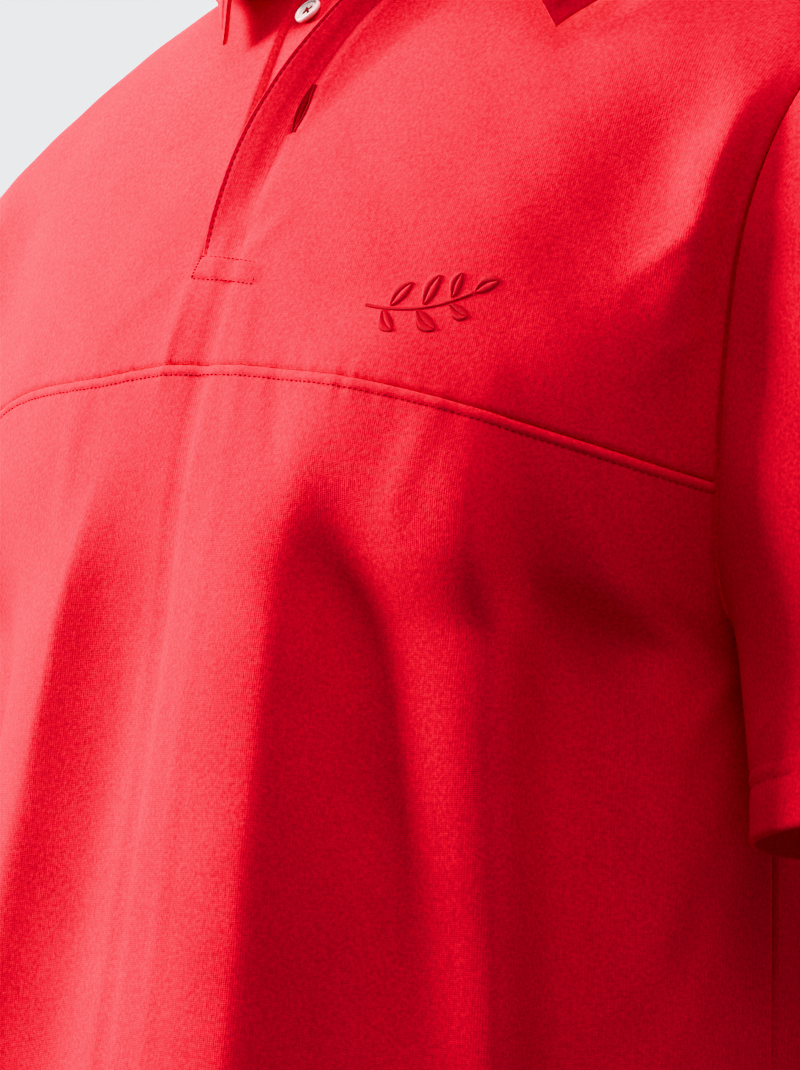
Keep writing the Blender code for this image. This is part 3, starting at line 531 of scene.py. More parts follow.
def hem_profile(distance):
    """The turned hem: two grooves of stitching and a fuller edge."""
    first, second = HEM_STITCHES
    puff = HEM_PUFF * smooth_step(distance / HEM_ROLL) * smooth_step((first - distance) / HEM_FALL)
    ridge = 0.5 * HEM_PUFF * np.exp(-((distance - (first + second) / 2) / HEM_RIDGE) ** 2)
    return puff + ridge + stitch_ditch(distance - first) + stitch_ditch(distance - second)


# ---- the open neck -----------------------------------------------------------------------------------
def neck_down(angle, depth):
    """Where the neck seam crosses the form at this angle, as a length down from the ridge."""
    share = np.clip(np.abs(angle) / NECK_ANGLE, 0, 1)
    return depth * np.sqrt(1 - share**NECK_ROUND)


def opened(angle, down, side):
    """Angle and lift of the front once its placket is pulled open. side: -1 or +1 of the slit."""
    start = neck_down(PLACKET_ANGLE, NECK_DEPTH_FRONT)
    share = np.clip((PLACKET_DOWN + down) / (PLACKET_DOWN - start), 0, PULL_LIMIT)
    from_slit = np.abs(angle - PLACKET_ANGLE)
    follow = np.clip(1 - from_slit / PULL_REACH, 0, 1) ** 2
    near_ridge = smooth_step(-down / start * PULL_FADE)
    left_pull = OVERLAP_PULL * share**OVERLAP_PULL_POWER
    right_pull = UNDERLAP_PULL * share**2
    pull = np.where(side > 0, left_pull, right_pull) * follow * near_ridge
    reach = LIFT_REACH[0] + (LIFT_REACH[1] - LIFT_REACH[0]) * share
    lift = OVERLAP_LIFT * share**LIFT_POWER * np.clip(1 - from_slit / reach, 0, 1)**LIFT_FALL * near_ridge
    return angle + pull, np.where(side > 0, lift, 0)


def front_point(angle, down, depth=0.0, side=None):
    """Point of the front's cloth at a depth below its outer face. side: -1 or +1 of the slit."""
    if side is None:
        side = np.sign(angle - PLACKET_ANGLE)
    moved, lift = opened(angle, down, side)
    height = cloth_height(moved, down) + lift - depth
    return body_point(moved, down) + body_normal(moved, down) * height[..., None]


def back_point(angle, down, depth=0.0):
    height = cloth_height(angle, down) - depth
    return body_point(angle, down) + body_normal(angle, down) * height[..., None]


def neck_angles(count):
    """Angles from the centre line to the neck point, closer together where the seam is steep."""
    turns = np.linspace(0, math.pi / 2, count + 1)
    return NECK_ANGLE * np.sin(turns) ** (2 / NECK_ROUND)


def chest_seam_down(angle):
    start, spread = CHEST_SEAM_RISE_AT
    rise = CHEST_SEAM_RISE * smooth_step((start - angle) / spread)
    return rise - CHEST_SEAM_DOWN - CHEST_SEAM_TILT * np.tanh(angle / CHEST_SEAM_SPREAD)


LOWER_TO_ARMPIT = float((chest_seam_down(90) - ARMPIT_FRONT) / (chest_seam_down(90) - HEM_FRONT))


def upper_down(angle, share):
    """Down from the ridge on the upper front: share 0 at its top edge, 1 at the chest seam."""
    top = -neck_down(angle, NECK_DEPTH_FRONT) - HALF_GAP
    bottom = chest_seam_down(angle) + HALF_GAP
    return top + (bottom - top) * share


def lower_down(angle, share):
    """The same on the lower front, from the chest seam past the armpit's level to the hem."""
    top = chest_seam_down(angle) - HALF_GAP
    above = share / LOWER_TO_ARMPIT
    below = (share - LOWER_TO_ARMPIT) / (1 - LOWER_TO_ARMPIT)
    return np.where(above < 1, top + (ARMPIT_FRONT - top) * above,
                    ARMPIT_FRONT + (HEM_FRONT - ARMPIT_FRONT) * below)


def back_down(angle, share):
    top = neck_down(angle, NECK_DEPTH_BACK) + HALF_GAP
    return top + (HEM_BACK - top) * share


def armhole(around, side):
    """Armhole ring of one side (+1 or -1). around: -1 the armpit, over the front, 0 the top, 1 the armpit."""
    down = np.where(around < 0, -around * ARMPIT_FRONT, around * ARMPIT_BACK)
    return body_point(90 * side, down)


def sleeve_point(around, along, side):
    """Point of a sleeve: around its ring, and along each rib from the armhole (0) to the hem (1)."""
    columns = np.array([rib[1:] for rib in SLEEVE_RIBS], float)
    x, y, z, cuff = np.moveaxis(smooth_rows(columns[:, 0], columns[:, 1:], np.abs(around)), -1, 0)
    front = np.where(around > 0, -1, 1)
    start = unit(np.stack([x * side, y * front, z], -1))
    turn = np.radians(cuff) * -front
    end = np.stack([
        side * (CUFF_CENTRE[0] + CUFF_RADIUS_SIDE * np.cos(turn)),
        CUFF_CENTRE[1] + CUFF_RADIUS_FRONT * np.sin(turn),
        CUFF_CENTRE[2] + CUFF_RADIUS_SIDE * np.cos(turn) * CUFF_SLOPE], -1)
    first = armhole(around, side) + start * SEAM_GAP
    length = np.linalg.norm(end - first, axis=-1, keepdims=True)
    leave = start * length * START_PULL
    arrive = unit(np.array([ARM_DOWN[0] * side, *ARM_DOWN[1:]])) * length * END_PULL
    shares = curve_shares(np.asarray(along, float)[..., None])
    return shares[0] * first + shares[1] * leave + shares[2] * end + shares[3] * arrive


def sleeve_normal(around, along, side):
    step = 0.004
    along = np.clip(along, 0.02, 0.98)
    ahead = (around + step + 1) % 2 - 1
    behind = (around - step + 1) % 2 - 1
    across = sleeve_point(ahead, along, side) - sleeve_point(behind, along, side)
    down = sleeve_point(around, along + step, side) - sleeve_point(around, along - step, side)
    return unit(np.cross(down, across)) * side


def neck_seam(share, side):
    """Point of the neck seam of one side. share: 0 at the centre back, 1 at the collar's front end."""
    on_back = share < NECK_SIDE_SHARE
    end_angle = COLLAR_ENDS[0] if side < 0 else COLLAR_ENDS[1]
    end_turn = math.asin((abs(end_angle) / NECK_ANGLE) ** (NECK_ROUND / 2))
    front_share = (share - NECK_SIDE_SHARE) / (1 - NECK_SIDE_SHARE)
    turn = np.where(on_back, share / NECK_SIDE_SHARE * math.pi / 2,
                    math.pi / 2 - front_share * (math.pi / 2 - end_turn))
    angle = side * NECK_ANGLE * np.sin(turn) ** (2 / NECK_ROUND)
    back_seam = back_point(angle, neck_down(angle, NECK_DEPTH_BACK))
    front_seam = front_point(angle, -neck_down(angle, NECK_DEPTH_FRONT), 0.0, side)
    return np.where(on_back[..., None], back_seam, front_seam)


def collar_point(station, row):
    """Point of the collar's visible face. station: -1 the wearer's right end, 0 the back, 1 the left end.

    row: 0 the foot of the stand, inside the neck, to 1 the edge of the leaf.
    """
    station, row = np.broadcast_arrays(np.asarray(station, float), np.asarray(row, float))
    share = np.abs(station)
    left = (station > 0)[..., None]
    table = np.array([line[1:] for line in COLLAR_STATIONS], float)
    stand, lean, right_angle, right_down, left_angle, left_down = np.moveaxis(
        smooth_rows(table[:, 0], table[:, 1:], share), -1, 0)
    seam = np.where(left, neck_seam(share, 1), neck_seam(share, -1))
    away = seam - np.array(NECK_AXIS)
    away[..., 2] = 0
    away = unit(away)
    up = np.array([0, 0, MM])
    high = stand[..., None]
    foot = seam - away * (FOOT_CLEAR + COLLAR_CLOTH) + up * FOOT_RISE
    top = seam + away * (lean[..., None] * MM - COLLAR_CLOTH) + up * high
    inner = top - up * ROLL / MM
    crest = top + away * ROLL
    outer = inner + away * 2 * ROLL
    leaf_angle = np.where(station > 0, left_angle, right_angle)
    leaf_down = np.where(station > 0, left_down, right_down) * MM
    edge = body_point(leaf_angle, leaf_down) + body_normal(leaf_angle, leaf_down) * LEAF_CLEAR
    middle = (outer + edge) / 2 + unit(away + up / MM * LEAF_BULGE_RISE) * LEAF_BULGE
    knots = np.array(COLLAR_ROW_KNOTS)
    at = row * knots[-1]
    points = np.stack([foot, inner, crest, outer, middle, edge], -2)
    return smooth_through(knots, points, at)


def smooth_through(knots, points, at):
    """Point at a knot value of each smooth curve. points: (..., knots, 3)."""
    length = np.diff(knots)[:, None]
    slope = np.diff(points, axis=-2) / length
    ahead, behind = slope[..., 1:, :], slope[..., :-1, :]
    mean = (behind * length[1:] + ahead * length[:-1]) / (length[1:] + length[:-1])
    tangent = np.concatenate([slope[..., :1, :], mean, slope[..., -1:, :]], -2)
    i = np.clip(np.searchsorted(knots, at, side="right") - 1, 0, len(knots) - 2)
    step = length[i]
    t = (at - knots[i])[..., None] / step

    def pick(rows, index):
        return np.take_along_axis(rows, index[..., None, None], -2)[..., 0, :]

    start, leave, end, arrive = curve_shares(t)
    return (start * pick(points, i) + leave * step * pick(tangent, i)
            + end * pick(points, i + 1) + arrive * step * pick(tangent, i + 1))


def collar_normal(station, row):
    step = 0.01
    station_in = np.clip(station, -1 + step, 1 - step)
    row_in = np.clip(row, step, 1 - step)
    across = collar_point(station_in + step, row_in) - collar_point(station_in - step, row_in)
    along = collar_point(station_in, row_in + step) - collar_point(station_in, row_in - step)
    return unit(np.cross(along, across))


def underlap_point(across, down, depth):
    """Point of the button stand. across: metres from the slit towards the wearer's left."""
    angle = PLACKET_ANGLE + across / ACROSS_ONE_DEGREE
    return front_point(angle, down, CLOTH + UNDERLAP_CLEAR + depth, np.full(np.shape(angle), -1))


# ---- building cloth ----------------------------------------------------------------------------------
EDGE_STEPS = (0, 0.12, 0.3, 0.55, 0.9, 1.4, 2.0, 2.8)     # mm in from an edge


def stations(length, step, fine_start=EDGE_STEPS, fine_end=EDGE_STEPS):
    """Shares of a length, in even steps with fine ones near its ends (mm in from each end)."""
    near = np.array(fine_start) * MM / length
    far = 1 - np.array(fine_end)[::-1] * MM / length
    low = near[-1] if len(near) else 0
    high = far[0] if len(far) else 1
    middle = np.linspace(low, high, max(2, round((high - low) * length / step)) + 1)
    return np.unique(np.round(np.concatenate([near, middle, far]), 7))


def rounded(depth, thickness, distance):
    """Depth below the outer face, with the cloth's edge rounded over where the distance to it is small."""
    share = np.clip(1 - distance / (0.6 * thickness), 0, 1)
    return thickness / 2 + (depth - thickness / 2) * np.sqrt(1 - 0.96 * share**2)


def panel(name, across, along, place, lie, material, thickness=CLOTH, closed_round=False, slit=None):
    """A wall of cloth over a grid of stations. place(across, along, depth, side) gives its points.

    lie(across, along) gives the same stations on the flat cloth, for the knit. closed_round joins the
    first and last columns. slit is (column, rows): the grid is cut open along that column.
    """
    columns = len(across) - 1
    rows = len(along) - 1
    bm = bmesh.new()
    bmesh.ops.create_grid(bm, x_segments=columns, y_segments=rows, size=0.5)
    column_of = bm.verts.layers.int.new("column")
    row_of = bm.verts.layers.int.new("row")
    side_of = bm.verts.layers.int.new("side")
    for vert in bm.verts:
        vert[column_of] = round((vert.co.x + 0.5) * columns)
        vert[row_of] = round((vert.co.y + 0.5) * rows)
    flat = np.stack(np.broadcast_arrays(*lie(across[:, None], along[None, :])), -1)
    cloth = bm.loops.layers.uv.new("cloth")
    for face in bm.faces:
        for loop in face.loops:
            loop[cloth].uv = flat[loop.vert[column_of], loop.vert[row_of]]
    if slit:
        cut_slit(bm, column_of, row_of, side_of, *slit)

    def move(verts, depth):
        i = np.array([vert[column_of] for vert in verts])
        j = np.array([vert[row_of] for vert in verts])
        side = np.array([vert[side_of] for vert in verts])
        for vert, point in zip(verts, place(across[i], along[j], depth, side)):
            vert.co = point

    outer = list(bm.verts)
    move(outer, 0.0)
    if closed_round:
        seam = [vert for vert in bm.verts if vert[column_of] in (0, columns)]
        bmesh.ops.remove_doubles(bm, verts=seam, dist=1e-5)
    made = bmesh.ops.extrude_face_region(bm, geom=bm.faces[:], use_keep_orig=True)
    inner = [item for item in made["geom"] if isinstance(item, bmesh.types.BMVert)]
    move(inner, thickness)
    bmesh.ops.recalc_face_normals(bm, faces=bm.faces[:])
    return add_piece(name, bm, material)


def cut_slit(bm, column_of, row_of, side_of, column, rows):
    """Cut the grid open along a column, and note which side of it each vertex is on."""
    edges = [edge for edge in bm.edges
             if all(vert[column_of] == column and vert[row_of] <= rows for vert in edge.verts)]
    bmesh.ops.split_edges(bm, edges=edges)
    slit_x = next(vert.co.x for vert in bm.verts if vert[column_of] == column)
    for vert in bm.verts:
        middle = sum(face.calc_center_median().x for face in vert.link_faces) / len(vert.link_faces)
        vert[side_of] = 1 if middle > slit_x else -1


def add_piece(name, bm, material):
    """Make a smooth-shaded object of a finished bmesh, carried by the shirt's one body."""
    if name in bpy.data.objects:
        raise RuntimeError(f"{name} is there already")
    if not bm.faces:
        raise RuntimeError(f"{name} has no faces")
    for face in bm.faces:
        face.smooth = True
    mesh = bpy.data.meshes.new(name)
    bm.to_mesh(mesh)
    bm.free()
    mesh.materials.append(material)
    piece = bpy.data.objects.new(name, mesh)
    bpy.context.scene.collection.objects.link(piece)
    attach(piece, "root")
    return piece


def lengths_along(points):
    """Running length along a row of points."""
    return np.concatenate([[0], np.cumsum(np.linalg.norm(np.diff(points, axis=0), axis=1))])


def outward(point_of, a, b, step_a, step_b):
    """Outward direction of a surface given by two coordinates, from points a small step away."""
    across = point_of(a + step_a, b) - point_of(a - step_a, b)
    along = point_of(a, b + step_b) - point_of(a, b - step_b)
    return unit(np.cross(across, along))


# ---- thread ------------------------------------------------------------------------------------------
THREAD_SIDES = 6
THREAD_PARTS = 4
THREAD_ARCH = 1.3           # how far the middle of a stitch stands up, in thread radii
THREAD_DIP = 0.7            # how far its ends go into the cloth


def one_thread():
    """A stitch of unit length along Z, arched towards +X, with rounded ends."""
    bm = bmesh.new()
    bmesh.ops.create_cone(bm, cap_ends=True, segments=THREAD_SIDES, radius1=1, radius2=1, depth=1)
    long_edges = [edge for edge in bm.edges if abs(edge.verts[0].co.z - edge.verts[1].co.z) > 0.5]
    bmesh.ops.subdivide_edges(bm, edges=long_edges, cuts=THREAD_PARTS - 1, use_grid_fill=True)
    for vert in bm.verts:
        rise = math.sin(math.pi * (vert.co.z + 0.5))
        swell = 0.55 + 0.45 * math.sqrt(rise)
        vert.co.x = vert.co.x * swell + THREAD_ARCH * rise - THREAD_DIP
        vert.co.y *= swell
    bmesh.ops.recalc_face_normals(bm, faces=bm.faces[:])
    mesh = bpy.data.meshes.new("one_thread")
    bm.to_mesh(mesh)
    bm.free()
    return mesh


def lay_threads(name, threads, radius, material):
    """One piece of many stitches. threads: rows of (start, end, outward direction)."""
    mesh = one_thread()
    shape = np.array([vert.co for vert in mesh.vertices])
    bm = bmesh.new()
    for start, end, up in threads:
        way = end - start
        side = unit(np.cross(way, up))
        rise = unit(np.cross(side, way))
        placed = shape[:, :1] * rise * radius + shape[:, 1:2] * side * radius + shape[:, 2:] * way
        mesh.vertices.foreach_set("co", (placed + (start + end) / 2).ravel())
        bm.from_mesh(mesh)
    bpy.data.meshes.remove(mesh)
    return add_piece(name, bm, material)


def stitch_line(point_of, a_of, b_of, step_a, step_b, pitch, share=0.74):
    """Stitches along a line on a surface. a_of and b_of give the line's coordinates, from 0 to 1."""
    t = np.linspace(0, 1, 1500)
    run = lengths_along(point_of(a_of(t), b_of(t)))
    count = max(1, round(run[-1] / pitch))
    starts = np.interp(np.arange(count) / count * run[-1], run, t)
    ends = np.interp((np.arange(count) + share) / count * run[-1], run, t)
    ups = outward(point_of, a_of(starts), b_of(starts), step_a, step_b)
    return list(zip(point_of(a_of(starts), b_of(starts)), point_of(a_of(ends), b_of(ends)), ups))


def between(first, last):
    return lambda t: first + (last - first) * t


# ---- finishes ----------------------------------------------------------------------------------------
def node(tree, kind, values=None, **settings):
    made = tree.nodes.new(kind)
    for key, value in settings.items():
        setattr(made, key, value)
    for key, value in (values or {}).items():
        made.inputs[key].default_value = value
    return made


def new_finish(name, colour, roughness):
    material = bpy.data.materials.new(name)
    material.use_nodes = True
    material.diffuse_color = (*colour, 1)
    tree = material.node_tree
    shader = tree.nodes["Principled BSDF"]
    shader.inputs["Roughness"].default_value = roughness
    return material, tree, shader


def blotches(tree, vector, name):
    """The soft random patches of this name in the table."""
    scale, low, high, detail = PATCHES[name]
    noise = node(tree, "ShaderNodeTexNoise", {"Scale": scale, "Detail": detail, "Roughness": 0.6})
    tree.links.new(vector, noise.inputs["Vector"])
    spread = node(tree, "ShaderNodeMapRange", {
        "From Min": 0.3, "From Max": 0.7, "To Min": low, "To Max": high})
    tree.links.new(noise.outputs["Fac"], spread.inputs["Value"])
    return spread.outputs["Result"]


def maths(tree, operation, first, second):
    made = node(tree, "ShaderNodeMath", operation=operation)
    for socket, value in zip(made.inputs, (first, second)):
        if isinstance(value, (int, float)):
            socket.default_value = value
        else:
            tree.links.new(value, socket)
    return made.outputs["Value"]


def shade_colour(tree, shader, colour, shade):
    """Give the shader a colour times a varying shade."""
    tint = node(tree, "ShaderNodeMix", data_type="RGBA", blend_type="MULTIPLY")
    tint.inputs["Factor"].default_value = 1.0
    tint.inputs["A"].default_value = (*colour, 1)
    tree.links.new(shade, tint.inputs["B"])
    tree.links.new(tint.outputs["Result"], shader.inputs["Base Color"])


def jersey(name, colour, wale, sheen):
    """Heavy cotton jersey: fine wales and courses, a faint nap, small unevenness of dye, and painted shade at
    the foot of each loop.
    """
    material, tree, shader = new_finish(name, colour, 0.82)
    cloth = node(tree, "ShaderNodeUVMap", uv_map="cloth").outputs["UV"]
    solid = node(tree, "ShaderNodeTexCoord").outputs["Object"]
    period = math.tau / 20      # of a wave texture of scale 1
    wales = node(tree, "ShaderNodeTexWave", {
        "Scale": period / wale, "Distortion": 1.6, "Detail": 2.0, "Detail Scale": 1.4}, bands_direction="X")
    courses = node(tree, "ShaderNodeTexWave", {
        "Scale": period / (0.8 * wale), "Distortion": 2.2, "Detail": 2.0, "Detail Scale": 1.2},
        bands_direction="Y")
    for wave in (wales, courses):
        tree.links.new(cloth, wave.inputs["Vector"])
    fuzz = blotches(tree, solid, "cloth fuzz")
    grain = blotches(tree, solid, "cloth grain")
    loops = maths(tree, "MULTIPLY", wales.outputs["Fac"], courses.outputs["Fac"])
    height = maths(tree, "MULTIPLY", loops, LOOP_HEIGHT)
    for over in (fuzz, grain):
        height = maths(tree, "ADD", height, maths(tree, "MULTIPLY", over, GRAIN_HEIGHT))
    bump = node(tree, "ShaderNodeBump", {"Strength": 0.55, "Distance": 0.00035})
    tree.links.new(height, bump.inputs["Height"])
    tree.links.new(bump.outputs["Normal"], shader.inputs["Normal"])
    dye = blotches(tree, solid, "cloth dye")
    mottle = blotches(tree, solid, "cloth mottle")
    shade = maths(tree, "MULTIPLY", dye, mottle)
    # painted shade: the colour darkens towards the foot of each knit loop, in the relief's hollows
    painted_loop_shade = maths(tree, "ADD", maths(tree, "MULTIPLY", loops, LOOP_PAINTED_SHADE), LOOP_FOOT_SHADE)
    shade_colour(tree, shader, colour, maths(tree, "MULTIPLY", shade, painted_loop_shade))
    rough = blotches(tree, solid, "cloth roughness")
    tree.links.new(rough, shader.inputs["Roughness"])
    shader.inputs["Specular IOR Level"].default_value = 0.02
    shader.inputs["Sheen Weight"].default_value = sheen
    shader.inputs["Sheen Roughness"].default_value = 0.45
    shader.inputs["Sheen Tint"].default_value = (1.0, 0.03, 0.06, 1)
    return material


def sewing_thread(name, colour, gloss):
    """Spun polyester thread with a twist."""
    material, tree, shader = new_finish(name, colour, 0.55)
    solid = node(tree, "ShaderNodeTexCoord").outputs["Object"]
    shade_colour(tree, shader, colour, blotches(tree, solid, "thread shade"))
    twist = node(tree, "ShaderNodeTexWave", {"Scale": 700.0, "Distortion": 1.0}, bands_direction="DIAGONAL")
    tree.links.new(solid, twist.inputs["Vector"])
    bump = node(tree, "ShaderNodeBump", {"Strength": 0.3, "Distance": 0.0001})
    tree.links.new(twist.outputs["Fac"], bump.inputs["Height"])
    tree.links.new(bump.outputs["Normal"], shader.inputs["Normal"])
    shader.inputs["Specular IOR Level"].default_value = gloss
    return material


def pearl(name, colour):
    """Polished shell: milky clouds with a warm and a cool cast under a clear gloss."""
    material, tree, shader = new_finish(name, colour, 0.18)
    solid = node(tree, "ShaderNodeTexCoord").outputs["Object"]
    cloud = blotches(tree, solid, "shell cloud")
    ramp = node(tree, "ShaderNodeValToRGB")
    for stop, casts in zip(ramp.color_ramp.elements, (PEARL_WARM, PEARL_COOL)):
        stop.color = (*(min(1, part * cast) for part, cast in zip(colour, casts)), 1)
    tree.links.new(cloud, ramp.inputs["Fac"])
    tree.links.new(ramp.outputs["Color"], shader.inputs["Base Color"])
    bump = node(tree, "ShaderNodeBump", {"Strength": 0.12, "Distance": 0.0002})
    tree.links.new(cloud, bump.inputs["Height"])
    tree.links.new(bump.outputs["Normal"], shader.inputs["Normal"])
    tree.links.new(blotches(tree, solid, "shell roughness"), shader.inputs["Roughness"])
    shader.inputs["Coat Weight"].default_value = 0.6
    shader.inputs["Coat Roughness"].default_value = 0.08
    return material


def finish(name):
    """The named finish, made from the settings when it is first needed."""
    found = bpy.data.materials.get(name)
    if found:
        if "finish" not in found:
            raise RuntimeError(name + " is the name of a material that was loaded with the part")
        return found
    shirt = bpy.context.scene.shirt
    makers = {
        "body_knit": lambda: jersey(name, shirt.jersey_colour, shirt.wale, shirt.sheen),
        "collar_knit": lambda: jersey(name, shirt.jersey_colour, 0.85 * shirt.wale, shirt.sheen),
        "seam_thread": lambda: sewing_thread(name, shirt.thread_colour, SEAM_THREAD_GLOSS),
        "satin_thread": lambda: sewing_thread(name, shirt.embroidery_colour, SATIN_THREAD_GLOSS),
        "shell": lambda: pearl(name, shirt.button_colour),
    }
    made = makers[name]()
    made["finish"] = name
    return made


# ---- fronts and back ---------------------------------------------------------------------------------
UPPER_STEP = 3.0 * MM
FRONT_STEP = 3.6 * MM
BACK_STEP = 4.6 * MM
SLEEVE_STEP = 4.2 * MM
FRONT_COLUMNS = (34, 1.0, 1.1)      # how many across half the neck, then first and step beyond it (degrees)
BACK_COLUMNS = (22, 1.2, 1.4)
BOX_ROWS = (0.70, 0.84, 0.005)      # fine rows by the stitched box: first, last and step (shares)
BAND_ROWS = (2.8, 7.5, 0.45)        # the same below the chest seam (mm)
HEM_COARSE_ROWS = (4, 7, 10, 13, 16)    # up from the hem (mm)
HEM_FINE_ROWS = (19.5, 31)          # first and last of those by the stitches (mm)
FRONT_HEM_STEP = 0.9                # mm
BACK_HEM_STEP = 1.0
SLEEVE_HEM_ROWS = (5, 8, 11, 14, *np.arange(19, 33, 1.5))   # mm
STAND_COLUMN = 1.6 * MM
STAND_ROW = 2.5 * MM
SIDE_STEPS = np.array([0, 0.04, 0.10, 0.20, 0.34, 0.52, 0.8, 1.2])     # degrees in from the side
SLIT_STEPS = np.array([0.04, 0.10, 0.18, 0.3, 0.46, 0.7, 1.0, 1.5])    # degrees from the slit
SIDE_ANGLE = 90 - math.degrees(HALF_GAP / SIDE_DEPTH)
CHEST_DOWN = 250 * MM


def across_length(angle, down):
    """Length across the cloth from the centre line, at one level."""
    ruler = np.linspace(-90, 90, 181)
    run = lengths_along(body_point(ruler, np.full(181, down)))
    return np.interp(angle, ruler, run - run[90])


def half_angles(neck_columns, first, step):
    """Angles of half a panel's columns: across the neck, on to the side, and fine ones there."""
    side = SIDE_ANGLE - SIDE_STEPS
    middle = np.arange(NECK_ANGLE + first, side[-1], step)
    return np.concatenate([neck_angles(neck_columns), middle, side])


def front_angles():
    half = half_angles(*FRONT_COLUMNS)
    slit = PLACKET_ANGLE + np.concatenate([-SLIT_STEPS, [0], SLIT_STEPS])
    every = np.concatenate([-half, half])
    every = every[np.abs(every - PLACKET_ANGLE) > SLIT_STEPS[-1] + 0.5]
    return np.unique(np.round(np.concatenate([every, slit]), 5))


def back_angles():
    half = half_angles(*BACK_COLUMNS)
    return np.unique(np.round(np.concatenate([-half, half]), 5))


def hem_rows(step):
    """Rows up from the hem (mm), close together by its edge and its stitches."""
    return np.concatenate([EDGE_STEPS[:-1], HEM_COARSE_ROWS, np.arange(*HEM_FINE_ROWS, step)])


def neck_distance(angle, down, depth):
    """Distance on the cloth from the neck seam or, beside the neck, from the shoulder seam."""
    step = 0.05
    rise = neck_down(angle + step, depth) - neck_down(angle - step, depth)
    slope = rise / (2 * step * ACROSS_ONE_DEGREE)
    return (np.abs(down) - neck_down(angle, depth)) / np.sqrt(1 + slope**2)


def box_distance(angle, down):
    """Distance inside the stitched box's outline, negative outside it."""
    corners = np.array(BOX_CORNERS) * (ACROSS_ONE_DEGREE, MM)
    x = np.asarray(angle) * ACROSS_ONE_DEGREE
    inside = np.full(np.broadcast(angle, down).shape, np.inf)
    for start, end in zip(corners, np.roll(corners, -1, axis=0)):
        way = unit(end - start)
        inside = np.minimum(inside, (x - start[0]) * way[1] - (down - start[1]) * way[0])
    return inside


def box_height(angle, down):
    inside = box_distance(angle, down)
    return BOX_RISE * smooth_step(0.5 + inside / (1.2 * MM)) * (inside > -2 * MM) + stitch_ditch(inside)


def upper_surface(angle, down, depth, side):
    """The upper front with its box, seams and stitched edge. side: -1 or +1 of the slit."""
    from_slit = np.hypot(
        np.abs(angle - PLACKET_ANGLE) * ACROSS_ONE_DEGREE, np.clip(-down - PLACKET_DOWN, 0, None))
    to_chest = down - chest_seam_down(angle)
    to_side = side_distance(angle, down)
    to_neck = neck_distance(angle, down, NECK_DEPTH_FRONT)
    height = seam_dip(to_chest) + seam_dip(to_side) + seam_dip(to_neck) + box_height(angle, down)
    height = height + pucker(np.asarray(angle) * ACROSS_ONE_DEGREE, to_chest)
    height = height + np.where(side > 0, stitch_ditch(from_slit - EDGE_STITCH), 1.6 * seam_dip(from_slit))
    edge = np.minimum(np.minimum(to_chest, to_side), np.minimum(to_neck, from_slit))
    return front_point(angle, down, rounded(depth, CLOTH, edge) - height, side)


def make_front_upper():
    across = front_angles()
    top_length = CHEST_SEAM_DOWN - NECK_DEPTH_FRONT
    share = stations(top_length, UPPER_STEP)
    slit_end = (PLACKET_DOWN - neck_down(PLACKET_ANGLE, NECK_DEPTH_FRONT)) / (
        -chest_seam_down(PLACKET_ANGLE) - neck_down(PLACKET_ANGLE, NECK_DEPTH_FRONT))
    share = np.concatenate([share[(share < BOX_ROWS[0]) | (share > BOX_ROWS[1])], np.arange(*BOX_ROWS)])
    # one row lies exactly at the slit's lower end
    share = np.unique(np.concatenate([share[np.abs(share - slit_end) > 0.0015], [slit_end]]))

    def place(angle, share, depth, side):
        return upper_surface(angle, upper_down(angle, share), depth, side)

    def lie(angle, share):
        return across_length(angle, -CHEST_DOWN), -upper_down(angle, share)

    column = int(np.argmin(np.abs(across - PLACKET_ANGLE)))
    rows = int(np.argmin(np.abs(share - slit_end)))
    piece = panel("front_upper_cloth", across, share, place, lie, finish("body_knit"), slit=(column, rows))
    cut_buttonhole(piece)
    return piece


def overlap_point(angle, down):
    """Outer face of the overlap, on the wearer's left of the slit."""
    return upper_surface(angle, down, 0.0, np.ones(np.broadcast(angle, down).shape))


def buttonhole_frame():
    """Middle, lengthwise, outward and half length of the buttonhole."""
    ends = overlap_point(*[np.array(pair) for pair in zip(*[(a, d * MM) for a, d in BUTTONHOLE_ENDS])])
    middle = ends.mean(axis=0)
    a = np.array([np.mean([end[0] for end in BUTTONHOLE_ENDS])])
    b = np.array([np.mean([end[1] for end in BUTTONHOLE_ENDS])]) * MM
    up = outward(overlap_point, a, b, 0.3, MM)[0]
    way = unit(ends[0] - ends[1])
    return middle, way, up, np.linalg.norm(ends[0] - ends[1]) / 2


def cut_buttonhole(piece):
    """Open the buttonhole through the overlap, a narrow pointed oval."""
    middle, way, up, half = buttonhole_frame()
    bm = bmesh.new()
    bmesh.ops.create_cone(bm, cap_ends=True, segments=32, radius1=1, radius2=1, depth=1)
    side = unit(np.cross(up, way))
    for vert in bm.verts:
        along = vert.co.y
        lens = np.sign(vert.co.x) * (1 - along**2) * BUTTONHOLE_OPEN
        vert.co = middle + way * along * half + side * lens + up * vert.co.z * 12 * MM
    bmesh.ops.recalc_face_normals(bm, faces=bm.faces[:])
    mesh = bpy.data.meshes.new("buttonhole_cutter")
    bm.to_mesh(mesh)
    bm.free()
    cutter = bpy.data.objects.new("buttonhole_cutter", mesh)
    bpy.context.scene.collection.objects.link(cutter)
    apply_cut(piece, cutter)


def apply_cut(piece, cutter):
    """Take the cutter's shape out of a piece, and remove the cutter."""
    cut = piece.modifiers.new("cut", "BOOLEAN")
    cut.operation = "DIFFERENCE"
    cut.solver = "EXACT"
    cut.object = cutter
    ready = piece.evaluated_get(bpy.context.evaluated_depsgraph_get())
    before = piece.data
    piece.data = bpy.data.meshes.new_from_object(ready)
    piece.modifiers.clear()
    piece.data.name = piece.name
    bpy.data.meshes.remove(before)
    cutter_mesh = cutter.data
    bpy.data.objects.remove(cutter)
    bpy.data.meshes.remove(cutter_mesh)


